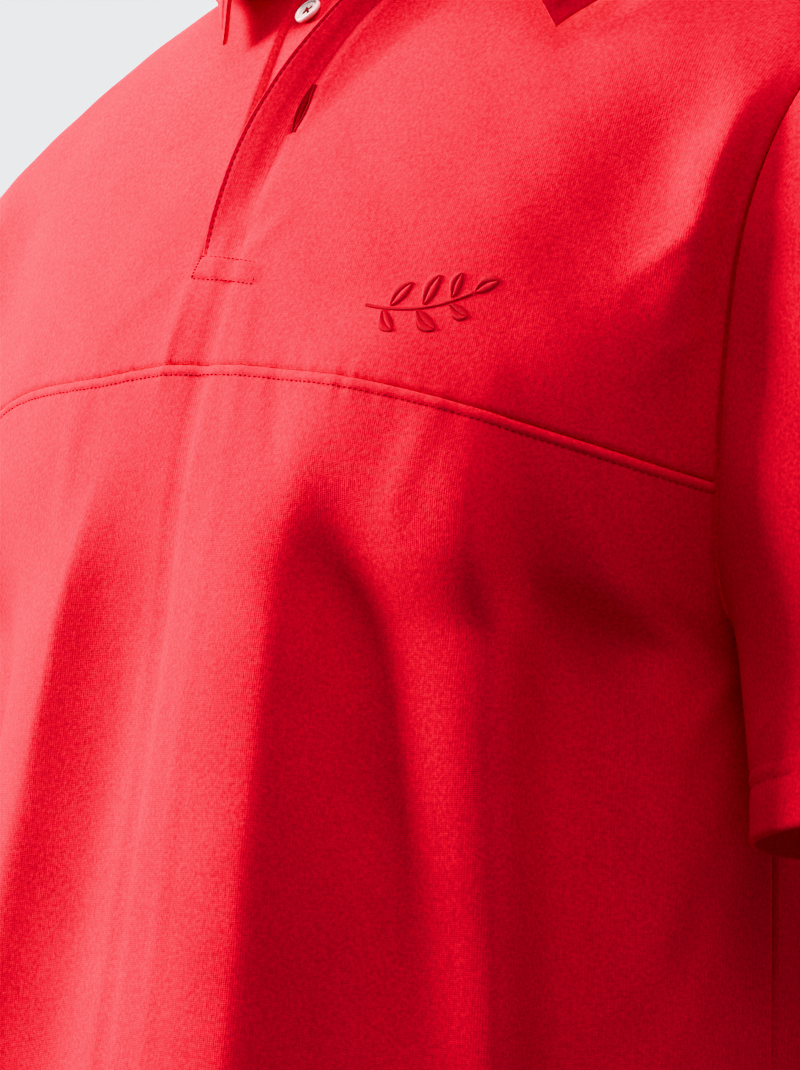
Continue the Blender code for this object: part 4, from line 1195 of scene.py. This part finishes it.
def lower_surface(angle, down, depth=0.0):
    """The lower front with the pressed and topstitched band below its seam."""
    from_seam = chest_seam_down(angle) - down
    to_side = side_distance(angle, down)
    to_hem = down - HEM_FRONT
    band = BAND_RISE * (1 - smooth_step((from_seam - BAND_WIDTH + 0.5 * MM) / (1.6 * MM)))
    height = band + seam_dip(from_seam) * 1.1 + stitch_ditch(from_seam - BAND_WIDTH) + seam_dip(to_side)
    height = height + pucker(np.asarray(angle) * ACROSS_ONE_DEGREE, from_seam - BAND_WIDTH)
    height = height + hem_profile(to_hem)
    edge = np.minimum(np.minimum(from_seam, to_side), to_hem)
    return front_point(angle, down, rounded(depth, CLOTH, edge) - height)


def make_front_lower():
    above_length = chest_seam_down(90) - ARMPIT_FRONT
    below_length = ARMPIT_FRONT - HEM_FRONT
    band = np.concatenate([EDGE_STEPS[:-1], np.arange(*BAND_ROWS)])
    above = stations(above_length, FRONT_STEP, band, ())
    below = stations(below_length, FRONT_STEP, (), hem_rows(FRONT_HEM_STEP))
    share = np.unique(np.concatenate([
        above * LOWER_TO_ARMPIT, LOWER_TO_ARMPIT + below * (1 - LOWER_TO_ARMPIT)]))

    def place(angle, share, depth, _):
        return lower_surface(angle, lower_down(angle, share), depth)

    def lie(angle, share):
        return across_length(angle, -CHEST_DOWN), -lower_down(angle, share)

    across = front_angles()
    # no slit here, so the finest columns beside it are left out
    across = across[(np.abs(across - PLACKET_ANGLE) > 0.9) | (across == PLACKET_ANGLE)]
    return panel("front_lower_cloth", across, share, place, lie, finish("body_knit"))


def back_surface(angle, down, depth=0.0):
    to_side = side_distance(angle, down)
    to_hem = HEM_BACK - down
    to_neck = neck_distance(angle, down, NECK_DEPTH_BACK)
    height = seam_dip(to_side) + seam_dip(to_neck) + hem_profile(to_hem)
    edge = np.minimum(np.minimum(to_side, to_hem), to_neck)
    return back_point(angle, down, rounded(depth, CLOTH, edge) - height)


def make_back():
    share = stations(HEM_BACK, BACK_STEP, EDGE_STEPS, hem_rows(BACK_HEM_STEP))

    def place(angle, share, depth, _):
        return back_surface(angle, back_down(angle, share), depth)

    def lie(angle, share):
        return across_length(angle, CHEST_DOWN), -back_down(angle, share)

    return panel("back_cloth", back_angles(), share, place, lie, finish("body_knit"))


# ---- sleeves -----------------------------------------------------------------------------------------
def sleeve_length(around, side):
    """Length of the sleeve's cloth from the armhole to the hem, at this place on its ring."""
    around = np.asarray(around, float)
    ways = [sleeve_point(around, np.full(around.shape, t), side) for t in np.linspace(0, 1, 13)]
    return np.linalg.norm(np.diff(np.array(ways), axis=0), axis=-1).sum(axis=0)


def sleeve_fold_height(around, along):
    total = np.zeros(np.broadcast(around, along).shape)
    for _, at_top, at_hem, start, end, width, height in SLEEVE_FOLDS:
        share = np.clip((along - start) / (end - start), 0, 1)
        off = around - (at_top + (at_hem - at_top) * share)
        off = (off + 1) % 2 - 1
        total += height * MM * np.sin(math.pi * share) ** 0.8 * np.exp(-(off / width) ** 2)
    return total


def sleeve_surface(around, along, side, depth=0.0):
    length = sleeve_length(around, side)
    from_armhole = along * length
    to_hem = (1 - along) * length
    height = seam_dip(from_armhole) + hem_profile(to_hem) + sleeve_fold_height(around, along)
    edge = np.minimum(from_armhole, to_hem)
    out = height - rounded(depth, CLOTH, edge)
    return sleeve_point(around, along, side) + sleeve_normal(around, along, side) * out[..., None]


def make_sleeve(name, side):
    longest = float(sleeve_length(np.zeros(1), side)[0])
    ring = lengths_along(armhole(np.linspace(-1, 1, 401), side))[-1]
    around = np.linspace(-1, 1, round(ring / SLEEVE_STEP) + 1)
    along = stations(longest, SLEEVE_STEP, EDGE_STEPS, (*EDGE_STEPS, *SLEEVE_HEM_ROWS))

    def place(around, along, depth, _):
        return sleeve_surface(around, along, side, depth)

    def lie(around, along):
        return around * ring / 2, -along * longest

    return panel(name, around, along, place, lie, finish("body_knit"), closed_round=True)


# ---- collar and button stand ---------------------------------------------------------------------------
def collar_surface(station, row, depth=0.0):
    """The collar with its turned edge and the groove of its topstitching."""
    to_edge = (1 - row) * COLLAR_LENGTH_DOWN
    to_end = (1 - np.abs(station)) * COLLAR_LENGTH_ACROSS
    from_foot = row * COLLAR_LENGTH_DOWN
    leaf = smooth_step((row - LEAF_ROWS[0]) / LEAF_ROWS[1])
    near = np.minimum(to_edge, to_end)
    turned = COLLAR_TURNED * smooth_step(near / MM) * smooth_step((COLLAR_STITCH - near) / (2 * MM))
    height = leaf * (turned + stitch_ditch(near - COLLAR_STITCH))
    edge = np.minimum(near, from_foot)
    out = height - rounded(depth, COLLAR_CLOTH, edge)
    return collar_point(station, row) + collar_normal(station, row) * out[..., None]


def make_collar():
    ends = np.concatenate([EDGE_STEPS, np.arange(*COLLAR_DITCH_ROWS)])
    station = stations(2 * COLLAR_LENGTH_ACROSS, COLLAR_STEP, ends, ends) * 2 - 1
    row = stations(COLLAR_LENGTH_DOWN, COLLAR_ROW_STEP, EDGE_STEPS, ends)

    def place(station, row, depth, _):
        return collar_surface(station, row, depth)

    def lie(station, row):
        return station * COLLAR_LENGTH_ACROSS, -row * COLLAR_LENGTH_DOWN

    return panel("collar_cloth", station, row, place, lie, finish("collar_knit"), thickness=COLLAR_CLOTH)


def stand_surface(across, down, depth=0.0):
    """The button stand, with a groove of stitching beside its free edge."""
    to_edge = UNDERLAP_WIDTH - across
    to_end = down + UNDERLAP_END
    edge = np.minimum(to_edge, to_end)
    height = stitch_ditch(to_edge - EDGE_STITCH)
    return underlap_point(across, down, rounded(depth, UNDERLAP_CLOTH, edge) - height)


def make_placket_stand():
    width = UNDERLAP_WIDTH + UNDERLAP_TUCK
    across = stations(width, STAND_COLUMN, (0,), EDGE_STEPS) * width - UNDERLAP_TUCK
    top = -float(neck_down(PLACKET_ANGLE, NECK_DEPTH_FRONT)) - HALF_GAP
    share = stations(UNDERLAP_END + top, STAND_ROW, (0,), EDGE_STEPS)

    def place(across, share, depth, _):
        return stand_surface(across, top + (-UNDERLAP_END - top) * share, depth)

    def lie(across, share):
        return across, -share * (UNDERLAP_END + top)

    return panel("placket_stand", across, share, place, lie, finish("collar_knit"), thickness=UNDERLAP_CLOTH)


# ---- buttons -------------------------------------------------------------------------------------------
def button_frame(across, down):
    """Middle and turn of a button on the button stand."""
    centre = Vector(stand_surface(across, -down))
    east = Vector(stand_surface(across + MM, -down)) - centre
    north = Vector(stand_surface(across, -down + MM)) - centre
    up = east.cross(north).normalized()
    turn = up.to_track_quat("Z", "Y").to_matrix().to_4x4()
    return Matrix.Translation(centre + up * (BUTTON_THICKNESS / 2 + BUTTON_STANDOFF)) @ turn


def make_button(name, across, down):
    """A turned shell button: rounded edge, raised rim with a groove, dished middle and four holes."""
    half = BUTTON_THICKNESS / 2
    rim = BUTTON_RADIUS - BUTTON_RIM
    profile = (
        (0, -half), (BUTTON_RADIUS - 3 * BUTTON_ROUND, -half), (BUTTON_RADIUS - BUTTON_ROUND, -0.6 * half),
        (BUTTON_RADIUS, -0.1 * half), (BUTTON_RADIUS, 0.35 * half),
        (BUTTON_RADIUS - 0.4 * BUTTON_ROUND, 0.8 * half),
        (BUTTON_RADIUS - BUTTON_ROUND, half), (rim + 0.3 * BUTTON_ROUND, half), (rim, 0.85 * half),
        (rim - 0.5 * BUTTON_DISH, half - BUTTON_DISH), (rim - 1.6 * BUTTON_DISH, half - 0.75 * BUTTON_DISH),
        (rim - 3 * BUTTON_DISH, half - BUTTON_DISH), (0, half - 1.1 * BUTTON_DISH))
    bm = bmesh.new()
    verts = [bm.verts.new((x, 0, z)) for x, z in profile]
    edges = [bm.edges.new(pair) for pair in zip(verts, verts[1:])]
    bmesh.ops.spin(
        bm, geom=verts + edges, cent=(0, 0, 0), axis=(0, 0, 1), angle=math.tau,
        steps=BUTTON_SIDES, use_merge=True)
    bmesh.ops.remove_doubles(bm, verts=bm.verts[:], dist=1e-6)
    bmesh.ops.recalc_face_normals(bm, faces=bm.faces[:])
    placed = button_frame(across, down)
    bmesh.ops.transform(bm, matrix=placed, verts=bm.verts[:])
    piece = add_piece(name, bm, finish("shell"))
    holes = bmesh.new()
    for x, y in hole_places():
        bmesh.ops.create_cone(
            holes, cap_ends=True, segments=20, radius1=BUTTON_HOLE, radius2=BUTTON_HOLE,
            depth=2 * BUTTON_THICKNESS, matrix=placed @ Matrix.Translation((x, y, 0)))
    mesh = bpy.data.meshes.new(name + "_holes")
    holes.to_mesh(mesh)
    holes.free()
    cutter = bpy.data.objects.new(name + "_holes", mesh)
    bpy.context.scene.collection.objects.link(cutter)
    apply_cut(piece, cutter)
    return piece


def hole_places():
    return [(x, y) for x in (-BUTTON_HOLE_SPACING, BUTTON_HOLE_SPACING)
            for y in (-BUTTON_HOLE_SPACING, BUTTON_HOLE_SPACING)]


def button_thread(across, down):
    """Crossed thread through the four holes, a few strands each way."""
    placed = button_frame(across, down)
    up = np.array((placed.to_3x3() @ Vector((0, 0, 1))))
    level = BUTTON_THICKNESS / 2 - BUTTON_DISH
    threads = []
    for strand in BUTTON_STRANDS:
        for turn in (-1, 1):
            start = Vector((-BUTTON_HOLE_SPACING + strand * MM, -turn * BUTTON_HOLE_SPACING, level))
            end = Vector((BUTTON_HOLE_SPACING + strand * MM, turn * BUTTON_HOLE_SPACING, level))
            threads.append((np.array(placed @ start), np.array(placed @ end), up))
    return threads


# ---- stitching and embroidery --------------------------------------------------------------------------
def front_seam_stitches(pitch):
    def seam(angle, offset):
        return lower_surface(angle, chest_seam_down(angle) - offset)
    last = SIDE_ANGLE - 0.6
    return stitch_line(seam, between(-last, last), between(BAND_WIDTH, BAND_WIDTH), 0.2, -0.5 * MM, pitch)


def placket_stitches(pitch):
    """Edge stitching of the overlap, the box, dark rows down the box's left side as painted shadow, and the
    button stand's edge.
    """
    in_degrees = EDGE_STITCH / ACROSS_ONE_DEGREE
    top = -float(neck_down(PLACKET_ANGLE, NECK_DEPTH_FRONT)) - 2 * MM
    edge = stitch_line(
        overlap_point, between(PLACKET_ANGLE + in_degrees, PLACKET_ANGLE + in_degrees),
        between(BOX_CORNERS[0][1] * MM, top), 0.1, 0.5 * MM, pitch)
    threads = list(edge)
    for start, end in zip(BOX_CORNERS, BOX_CORNERS[1:] + BOX_CORNERS[:1]):
        threads += stitch_line(
            overlap_point, between(start[0], end[0]), between(start[1] * MM, end[1] * MM),
            0.1, 0.5 * MM, pitch)
    (left, top_left), (low, low_left) = BOX_CORNERS[0], BOX_CORNERS[3]
    # close dark rows down the box's left side: a painted shadow where the placket's edge meets the box
    for inset in BOX_SHADOW_STITCH_ROWS:
        threads += stitch_line(
            overlap_point, between(left + inset, low + inset), between(top_left * MM, low_left * MM),
            0.1, 0.5 * MM, pitch / 2)
    threads += stitch_line(
        stand_surface, between(UNDERLAP_WIDTH - EDGE_STITCH, UNDERLAP_WIDTH - EDGE_STITCH),
        between(-UNDERLAP_END + 6 * MM, top), 0.2 * MM, 0.5 * MM, pitch)
    return threads


def collar_stitches(pitch):
    """Topstitching round the leaf, a foot's width in from its edge."""
    row = 1 - COLLAR_STITCH / COLLAR_LENGTH_DOWN
    end = 1 - COLLAR_STITCH / COLLAR_LENGTH_ACROSS
    top = COLLAR_STITCH_TOP
    threads = []
    for a_of, b_of in (
            (between(-end, -end), between(top, row)),
            (between(-end, end), between(row, row)),
            (between(end, end), between(row, top))):
        threads += stitch_line(collar_surface, a_of, b_of, 0.004, -0.004, pitch)
    return threads


def hem_stitches(pitch):
    """Twin rows round the body's hem."""
    last = SIDE_ANGLE - 0.5
    threads = []
    for rise in HEM_STITCHES:
        threads += stitch_line(
            lower_surface, between(-last, last), between(HEM_FRONT + rise, HEM_FRONT + rise), 0.2, MM, pitch)
        threads += stitch_line(
            back_surface, between(-last, last), between(HEM_BACK - rise, HEM_BACK - rise), 0.2, MM, pitch)
    return threads


def sleeve_hem_stitches(pitch):
    """Twin rows round each sleeve's hem."""
    threads = []
    for side in (-1, 1):
        for rise in HEM_STITCHES:
            def row(around, rise, side=side):
                return sleeve_surface(around, 1 - rise / sleeve_length(around, side), side)
            threads += stitch_line(
                row, between(-0.999, 0.999), between(rise, rise), 0.004, -0.5 * MM * side, pitch)
    return threads


def sprig_place(points):
    """Points of the sprig's flat drawing (metres) laid on the overlap's panel, with outward directions."""
    tilt = math.radians(SPRIG_TILT)
    x = points[..., 0] * math.cos(tilt) - points[..., 1] * math.sin(tilt)
    y = points[..., 0] * math.sin(tilt) + points[..., 1] * math.cos(tilt)
    down = SPRIG_CENTRE[1] * MM + y
    one_degree = np.ptp(across_length(SPRIG_CENTRE[0] + np.array([-0.5, 0.5]), SPRIG_CENTRE[1] * MM))
    angle = SPRIG_CENTRE[0] + x / one_degree
    return overlap_point(angle, down), outward(overlap_point, angle, down, 0.2, 0.5 * MM)


def stem_point(share):
    """Point of the stem's curve, through its four guiding points."""
    a, b, c, d = np.array(SPRIG_STEM, float) * MM
    s = np.asarray(share, float)[..., None]
    return (1 - s)**3 * a + 3 * (1 - s)**2 * s * b + 3 * (1 - s) * s**2 * c + s**3 * d


def satin(first, last, rise):
    """Threads from one outline to the other, each raised in its middle."""
    starts, ups = sprig_place(first)
    ends, _ = sprig_place(last)
    return [(start + up * rise, end + up * rise, up) for start, end, up in zip(starts, ends, ups)]


def leaf_threads(place, side, length, width, turn):
    """Satin stitches of one leaf, slanting from its vein to its edges."""
    base = stem_point(place)
    way = unit(stem_point(min(1.0, place + 0.02)) - stem_point(place - 0.02))
    bend = math.radians(turn) * side
    way = np.array([way[0] * math.cos(bend) - way[1] * math.sin(bend),
                    way[0] * math.sin(bend) + way[1] * math.cos(bend)])
    across = np.array([-way[1], way[0]])
    count = round(length * MM / SATIN_PITCH)
    t = (np.arange(count) + 0.5) / count
    curve = SPRIG_LEAF_CURVE * length * MM * np.sin(math.pi * t) * side
    vein = base + (SPRIG_LEAF_FOOT + t * length * MM)[:, None] * way + curve[:, None] * across
    half = width / 2 * MM * np.sin(math.pi * t**0.85) ** 0.75
    slant = SPRIG_LEAF_SLANT * half
    threads = []
    for edge in (-1, 1):
        border = vein + (edge * half)[:, None] * across + slant[:, None] * way
        middle = vein + (edge * VEIN) * across
        threads += satin(middle, border, 0.5 * SATIN_RISE)
    return threads


def sprig_threads():
    middle = stem_point(np.linspace(0, 1, STEM_STITCHES))
    way = unit(np.gradient(middle, axis=0))
    across = np.stack([-way[:, 1], way[:, 0]], -1)
    slant = across * STEM_HALF + way * STEM_SLANT
    threads = satin(middle - slant, middle + slant, 0.4 * SATIN_RISE)
    for _, place, side, length, width, turn in SPRIG_LEAVES:
        threads += leaf_threads(place, side, length, width, turn)
    return threads


def buttonhole_threads():
    """Close stitches along both sides of the buttonhole, meeting past its ends."""
    (top_angle, top_down), (low_angle, low_down) = BUTTONHOLE_ENDS
    t = np.linspace(-BUTTONHOLE_RUN, 1 + BUTTONHOLE_RUN, BUTTONHOLE_STITCHES)
    angle = top_angle + (low_angle - top_angle) * t
    down = (top_down + (low_down - top_down) * t) * MM
    half_open = np.clip(4 * t * (1 - t), 0, 1) * BUTTONHOLE_OPEN
    ups = outward(overlap_point, angle, down, 0.2, 0.5 * MM)
    threads = []
    for edge in (-1, 1):
        starts = overlap_point(angle + edge * half_open / ACROSS_ONE_DEGREE, down)
        ends = overlap_point(angle + edge * (half_open + BUTTONHOLE_BORDER) / ACROSS_ONE_DEGREE, down)
        threads += list(zip(starts, ends, ups))
    return threads


# ---- stage ---------------------------------------------------------------------------------------------
def camera_axes():
    """Right, up and backward directions of the camera."""
    a, e, r = (math.radians(turn) for turn in (CAMERA_AZIMUTH, CAMERA_ELEVATION, CAMERA_ROLL))
    backward = Vector((math.sin(a) * math.cos(e), -math.cos(a) * math.cos(e), math.sin(e)))
    level = Vector((math.cos(a), math.sin(a), 0))
    upright = backward.cross(level)
    right = math.cos(r) * level + math.sin(r) * upright
    up = math.cos(r) * upright - math.sin(r) * level
    return right, up, backward


def make_camera():
    right, up, backward = camera_axes()
    data = bpy.data.cameras.new("camera")
    data.lens = CAMERA_LENS
    data.sensor_width = CAMERA_SENSOR
    data.clip_end = 50
    camera = bpy.data.objects.new("camera", data)
    turn = Matrix((right, up, backward)).transposed().to_4x4()
    place = Vector(CAMERA_TARGET) + backward * CAMERA_DISTANCE + right * CAMERA_SIDESTEP - up * CAMERA_SINK
    camera.matrix_world = Matrix.Translation(place) @ turn
    bpy.context.scene.collection.objects.link(camera)
    bpy.context.scene.camera = camera


def softbox(name, azimuth, elevation, distance, size, power):
    """A square soft light, aimed at the chest."""
    a, e = math.radians(azimuth), math.radians(elevation)
    backward = Vector((math.sin(a) * math.cos(e), -math.cos(a) * math.cos(e), math.sin(e)))
    data = bpy.data.lights.new(name, "AREA")
    data.shape = "SQUARE"
    data.size = size
    data.energy = power
    light = bpy.data.objects.new(name, data)
    turn = backward.to_track_quat("Z", "Y").to_matrix().to_4x4()
    light.matrix_world = Matrix.Translation(Vector(CAMERA_TARGET) + backward * distance) @ turn
    bpy.context.scene.collection.objects.link(light)


def make_floor(studio):
    bm = bmesh.new()
    bmesh.ops.create_grid(bm, x_segments=8, y_segments=8, size=6)
    bmesh.ops.translate(bm, verts=bm.verts[:], vec=(0, 0, studio.floor_height))
    mesh = bpy.data.meshes.new("floor")
    bm.to_mesh(mesh)
    bm.free()
    material, tree, shader = new_finish("floor_paint", studio.floor_colour, 0.7)
    solid = node(tree, "ShaderNodeTexCoord").outputs["Object"]
    tree.links.new(blotches(tree, solid, "floor roughness"), shader.inputs["Roughness"])
    shader.inputs["Base Color"].default_value = (*studio.floor_colour, 1)
    shader.inputs["Emission Color"].default_value = (*studio.floor_colour, 1)
    shader.inputs["Emission Strength"].default_value = studio.floor_glow
    mesh.materials.append(material)
    floor = bpy.data.objects.new("floor", mesh)
    floor.visible_diffuse = False       # a floor so pale would light the cloth's shadows
    bpy.context.scene.collection.objects.link(floor)


def make_world(studio):
    """A pale background, with a weaker light of the same colour on the shirt."""
    world = bpy.data.worlds.new("studio")
    world.use_nodes = True
    tree = world.node_tree
    tree.nodes.clear()
    colour = (*studio.backdrop_colour, 1)
    seen = node(tree, "ShaderNodeBackground", {"Color": colour, "Strength": studio.backdrop})
    cast = node(tree, "ShaderNodeBackground", {"Color": colour, "Strength": studio.fill})
    camera_ray = node(tree, "ShaderNodeLightPath").outputs["Is Camera Ray"]
    mix = node(tree, "ShaderNodeMixShader")
    out = node(tree, "ShaderNodeOutputWorld")
    tree.links.new(camera_ray, mix.inputs["Fac"])
    tree.links.new(cast.outputs["Background"], mix.inputs[1])
    tree.links.new(seen.outputs["Background"], mix.inputs[2])
    tree.links.new(mix.outputs["Shader"], out.inputs["Surface"])
    bpy.context.scene.world = world


# ---- settings, operators and panel -----------------------------------------------------------------------
class ShirtSettings(PropertyGroup):
    jersey_colour: FloatVectorProperty(
        name="Jersey", description="Colour of the cloth", subtype="COLOR", min=0, max=1,
        default=(0.80, 0.009, 0.028))
    thread_colour: FloatVectorProperty(
        name="Thread", description="Colour of the sewing thread", subtype="COLOR", min=0, max=1,
        default=(0.34, 0.002, 0.008))
    embroidery_colour: FloatVectorProperty(
        name="Embroidery", description="Colour of the satin stitch", subtype="COLOR", min=0, max=1,
        default=(0.60, 0.006, 0.020))
    button_colour: FloatVectorProperty(
        name="Buttons", description="Colour of the shell buttons", subtype="COLOR", min=0, max=1,
        default=(0.86, 0.80, 0.79))
    wale: FloatProperty(
        name="Wale", description="Width of one column of knit loops", unit="LENGTH",
        default=0.9 * MM, min=0.3 * MM, max=4 * MM)
    sheen: FloatProperty(
        name="Nap", description="Strength of the cloth's sheen", default=0.15, min=0, max=1)
    stitch: FloatProperty(
        name="Stitch length", description="From one needle hole to the next", unit="LENGTH",
        default=2.8 * MM, min=1.2 * MM, max=6 * MM)
    thread: FloatProperty(
        name="Thread radius", description="Half of the sewing thread's thickness", unit="LENGTH",
        default=0.24 * MM, min=0.1 * MM, max=0.6 * MM)


class StudioSettings(PropertyGroup):
    key: FloatProperty(
        name="Key light", description="Power of the soft light at the wearer's right (W)", default=280, min=0)
    top: FloatProperty(
        name="Top light", description="Power of the soft light overhead (W)", default=24, min=0)
    front: FloatProperty(
        name="Front light", description="Power of the weak light at the wearer's left (W)", default=13, min=0)
    back: FloatProperty(
        name="Back lights", description="Power of each of the two soft lights behind (W)", default=44, min=0)
    fill: FloatProperty(
        name="Fill", description="Strength of the light from all round", default=0.14, min=0)
    backdrop: FloatProperty(
        name="Backdrop", description="Brightness of the background", default=0.93, min=0)
    backdrop_colour: FloatVectorProperty(
        name="Backdrop colour", description="Colour of the background", subtype="COLOR", min=0, max=1,
        default=(0.97, 0.98, 1.0))
    floor_colour: FloatVectorProperty(
        name="Floor", description="Colour of the floor", subtype="COLOR", min=0, max=1,
        default=(0.80, 0.80, 0.81))
    floor_glow: FloatProperty(
        name="Floor glow", description="Light of the floor itself, which keeps it pale", default=0.5, min=0)
    floor_height: FloatProperty(
        name="Floor height", description="Level of the floor below the shoulders", unit="LENGTH",
        default=-1.45, max=-0.75)


class SHIRT_OT_fronts(Operator):
    """Make the upper and lower front in fine cloth"""
    bl_idname = "shirt.fronts"
    bl_label = "Fronts"

    def execute(self, context):
        upper = make_front_upper()
        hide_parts("front_upper")
        lower = make_front_lower()
        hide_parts("front_lower")
        return {"FINISHED"}


class SHIRT_OT_back(Operator):
    """Make the back in fine cloth"""
    bl_idname = "shirt.back"
    bl_label = "Back"

    def execute(self, context):
        back = make_back()
        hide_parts("back")
        return {"FINISHED"}


class SHIRT_OT_sleeves(Operator):
    """Make both sleeves in fine cloth"""
    bl_idname = "shirt.sleeves"
    bl_label = "Sleeves"

    def execute(self, context):
        for name, side in (("sleeve_left", 1), ("sleeve_right", -1)):
            sleeve = make_sleeve(name + "_cloth", side)
            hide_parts(name)
        return {"FINISHED"}


class SHIRT_OT_collar(Operator):
    """Make the collar and the button stand"""
    bl_idname = "shirt.collar"
    bl_label = "Collar and button stand"

    def execute(self, context):
        collar = make_collar()
        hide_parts("collar")
        stand = make_placket_stand()
        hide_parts("placket_underlap")
        return {"FINISHED"}


class SHIRT_OT_buttons(Operator):
    """Make the two shell buttons and their thread"""
    bl_idname = "shirt.buttons"
    bl_label = "Buttons"

    def execute(self, context):
        for name, *place in BUTTONS:
            made = make_button(name + "_shell", *place)
            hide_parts(name)
            thread = lay_threads(
                name + "_thread", button_thread(*place), BUTTON_THREAD, finish("seam_thread"))
        return {"FINISHED"}


class SHIRT_OT_stitching(Operator):
    """Lay the stitches of the seams, placket, collar and hems"""
    bl_idname = "shirt.stitching"
    bl_label = "Stitching"

    def execute(self, context):
        shirt = context.scene.shirt
        groups = (
            ("chest_seam_stitches", front_seam_stitches, "body_jersey"),
            ("placket_stitches", placket_stitches, "body_jersey"),
            ("collar_stitches", collar_stitches, "collar_jersey"),
            ("hem_stitches", hem_stitches, "body_jersey"),
            ("sleeve_hem_stitches", sleeve_hem_stitches, "body_jersey"),
        )
        for name, threads_of, slot in groups:
            made = lay_threads(name, threads_of(shirt.stitch), shirt.thread, finish("seam_thread"))
        border = lay_threads(
            "buttonhole_stitches", buttonhole_threads(), BUTTONHOLE_THREAD, finish("seam_thread"))
        return {"FINISHED"}


class SHIRT_OT_sprig(Operator):
    """Embroider the leaf sprig on the wearer's left chest"""
    bl_idname = "shirt.sprig"
    bl_label = "Leaf sprig"

    def execute(self, context):
        sprig = lay_threads("leaf_sprig", sprig_threads(), SATIN_RADIUS, finish("satin_thread"))
        return {"FINISHED"}


class SHIRT_OT_stage(Operator):
    """Make the camera, the lights, the background and the floor"""
    bl_idname = "shirt.stage"
    bl_label = "Stage"

    def execute(self, context):
        studio = context.scene.studio
        make_camera()
        make_floor(studio)
        make_world(studio)
        for light, power in zip(LIGHTS, (studio.key, studio.top, studio.front, studio.back, studio.back)):
            softbox(*light, power)
        context.scene.view_settings.view_transform = "Khronos PBR Neutral"
        return {"FINISHED"}


PIECES = (
    SHIRT_OT_fronts, SHIRT_OT_back, SHIRT_OT_sleeves, SHIRT_OT_collar, SHIRT_OT_buttons,
    SHIRT_OT_stitching, SHIRT_OT_sprig, SHIRT_OT_stage,
)


class SHIRT_PT_panel(Panel):
    """Settings and pieces of the polo shirt"""
    bl_label = "Polo shirt"
    bl_space_type = "VIEW_3D"
    bl_region_type = "UI"
    bl_category = "Shirt"

    def draw(self, context):
        for settings in (context.scene.shirt, context.scene.studio):
            for name in settings.__annotations__:
                self.layout.prop(settings, name)
        for piece in PIECES:
            self.layout.operator(piece.bl_idname)


CLASSES = (ShirtSettings, StudioSettings, *PIECES, SHIRT_PT_panel)


def register():
    for each in CLASSES:
        bpy.utils.register_class(each)
    bpy.types.Scene.shirt = PointerProperty(type=ShirtSettings)
    bpy.types.Scene.studio = PointerProperty(type=StudioSettings)


def unregister():
    del bpy.types.Scene.studio
    del bpy.types.Scene.shirt
    for each in reversed(CLASSES):
        bpy.utils.unregister_class(each)


def main():
    register()
    bpy.ops.shirt.stage()
    bpy.ops.shirt.fronts()
    bpy.ops.shirt.back()
    bpy.ops.shirt.sleeves()
    bpy.ops.shirt.collar()
    bpy.ops.shirt.buttons()
    bpy.ops.shirt.stitching()
    bpy.ops.shirt.sprig()


if __name__ == "__main__":
    main()
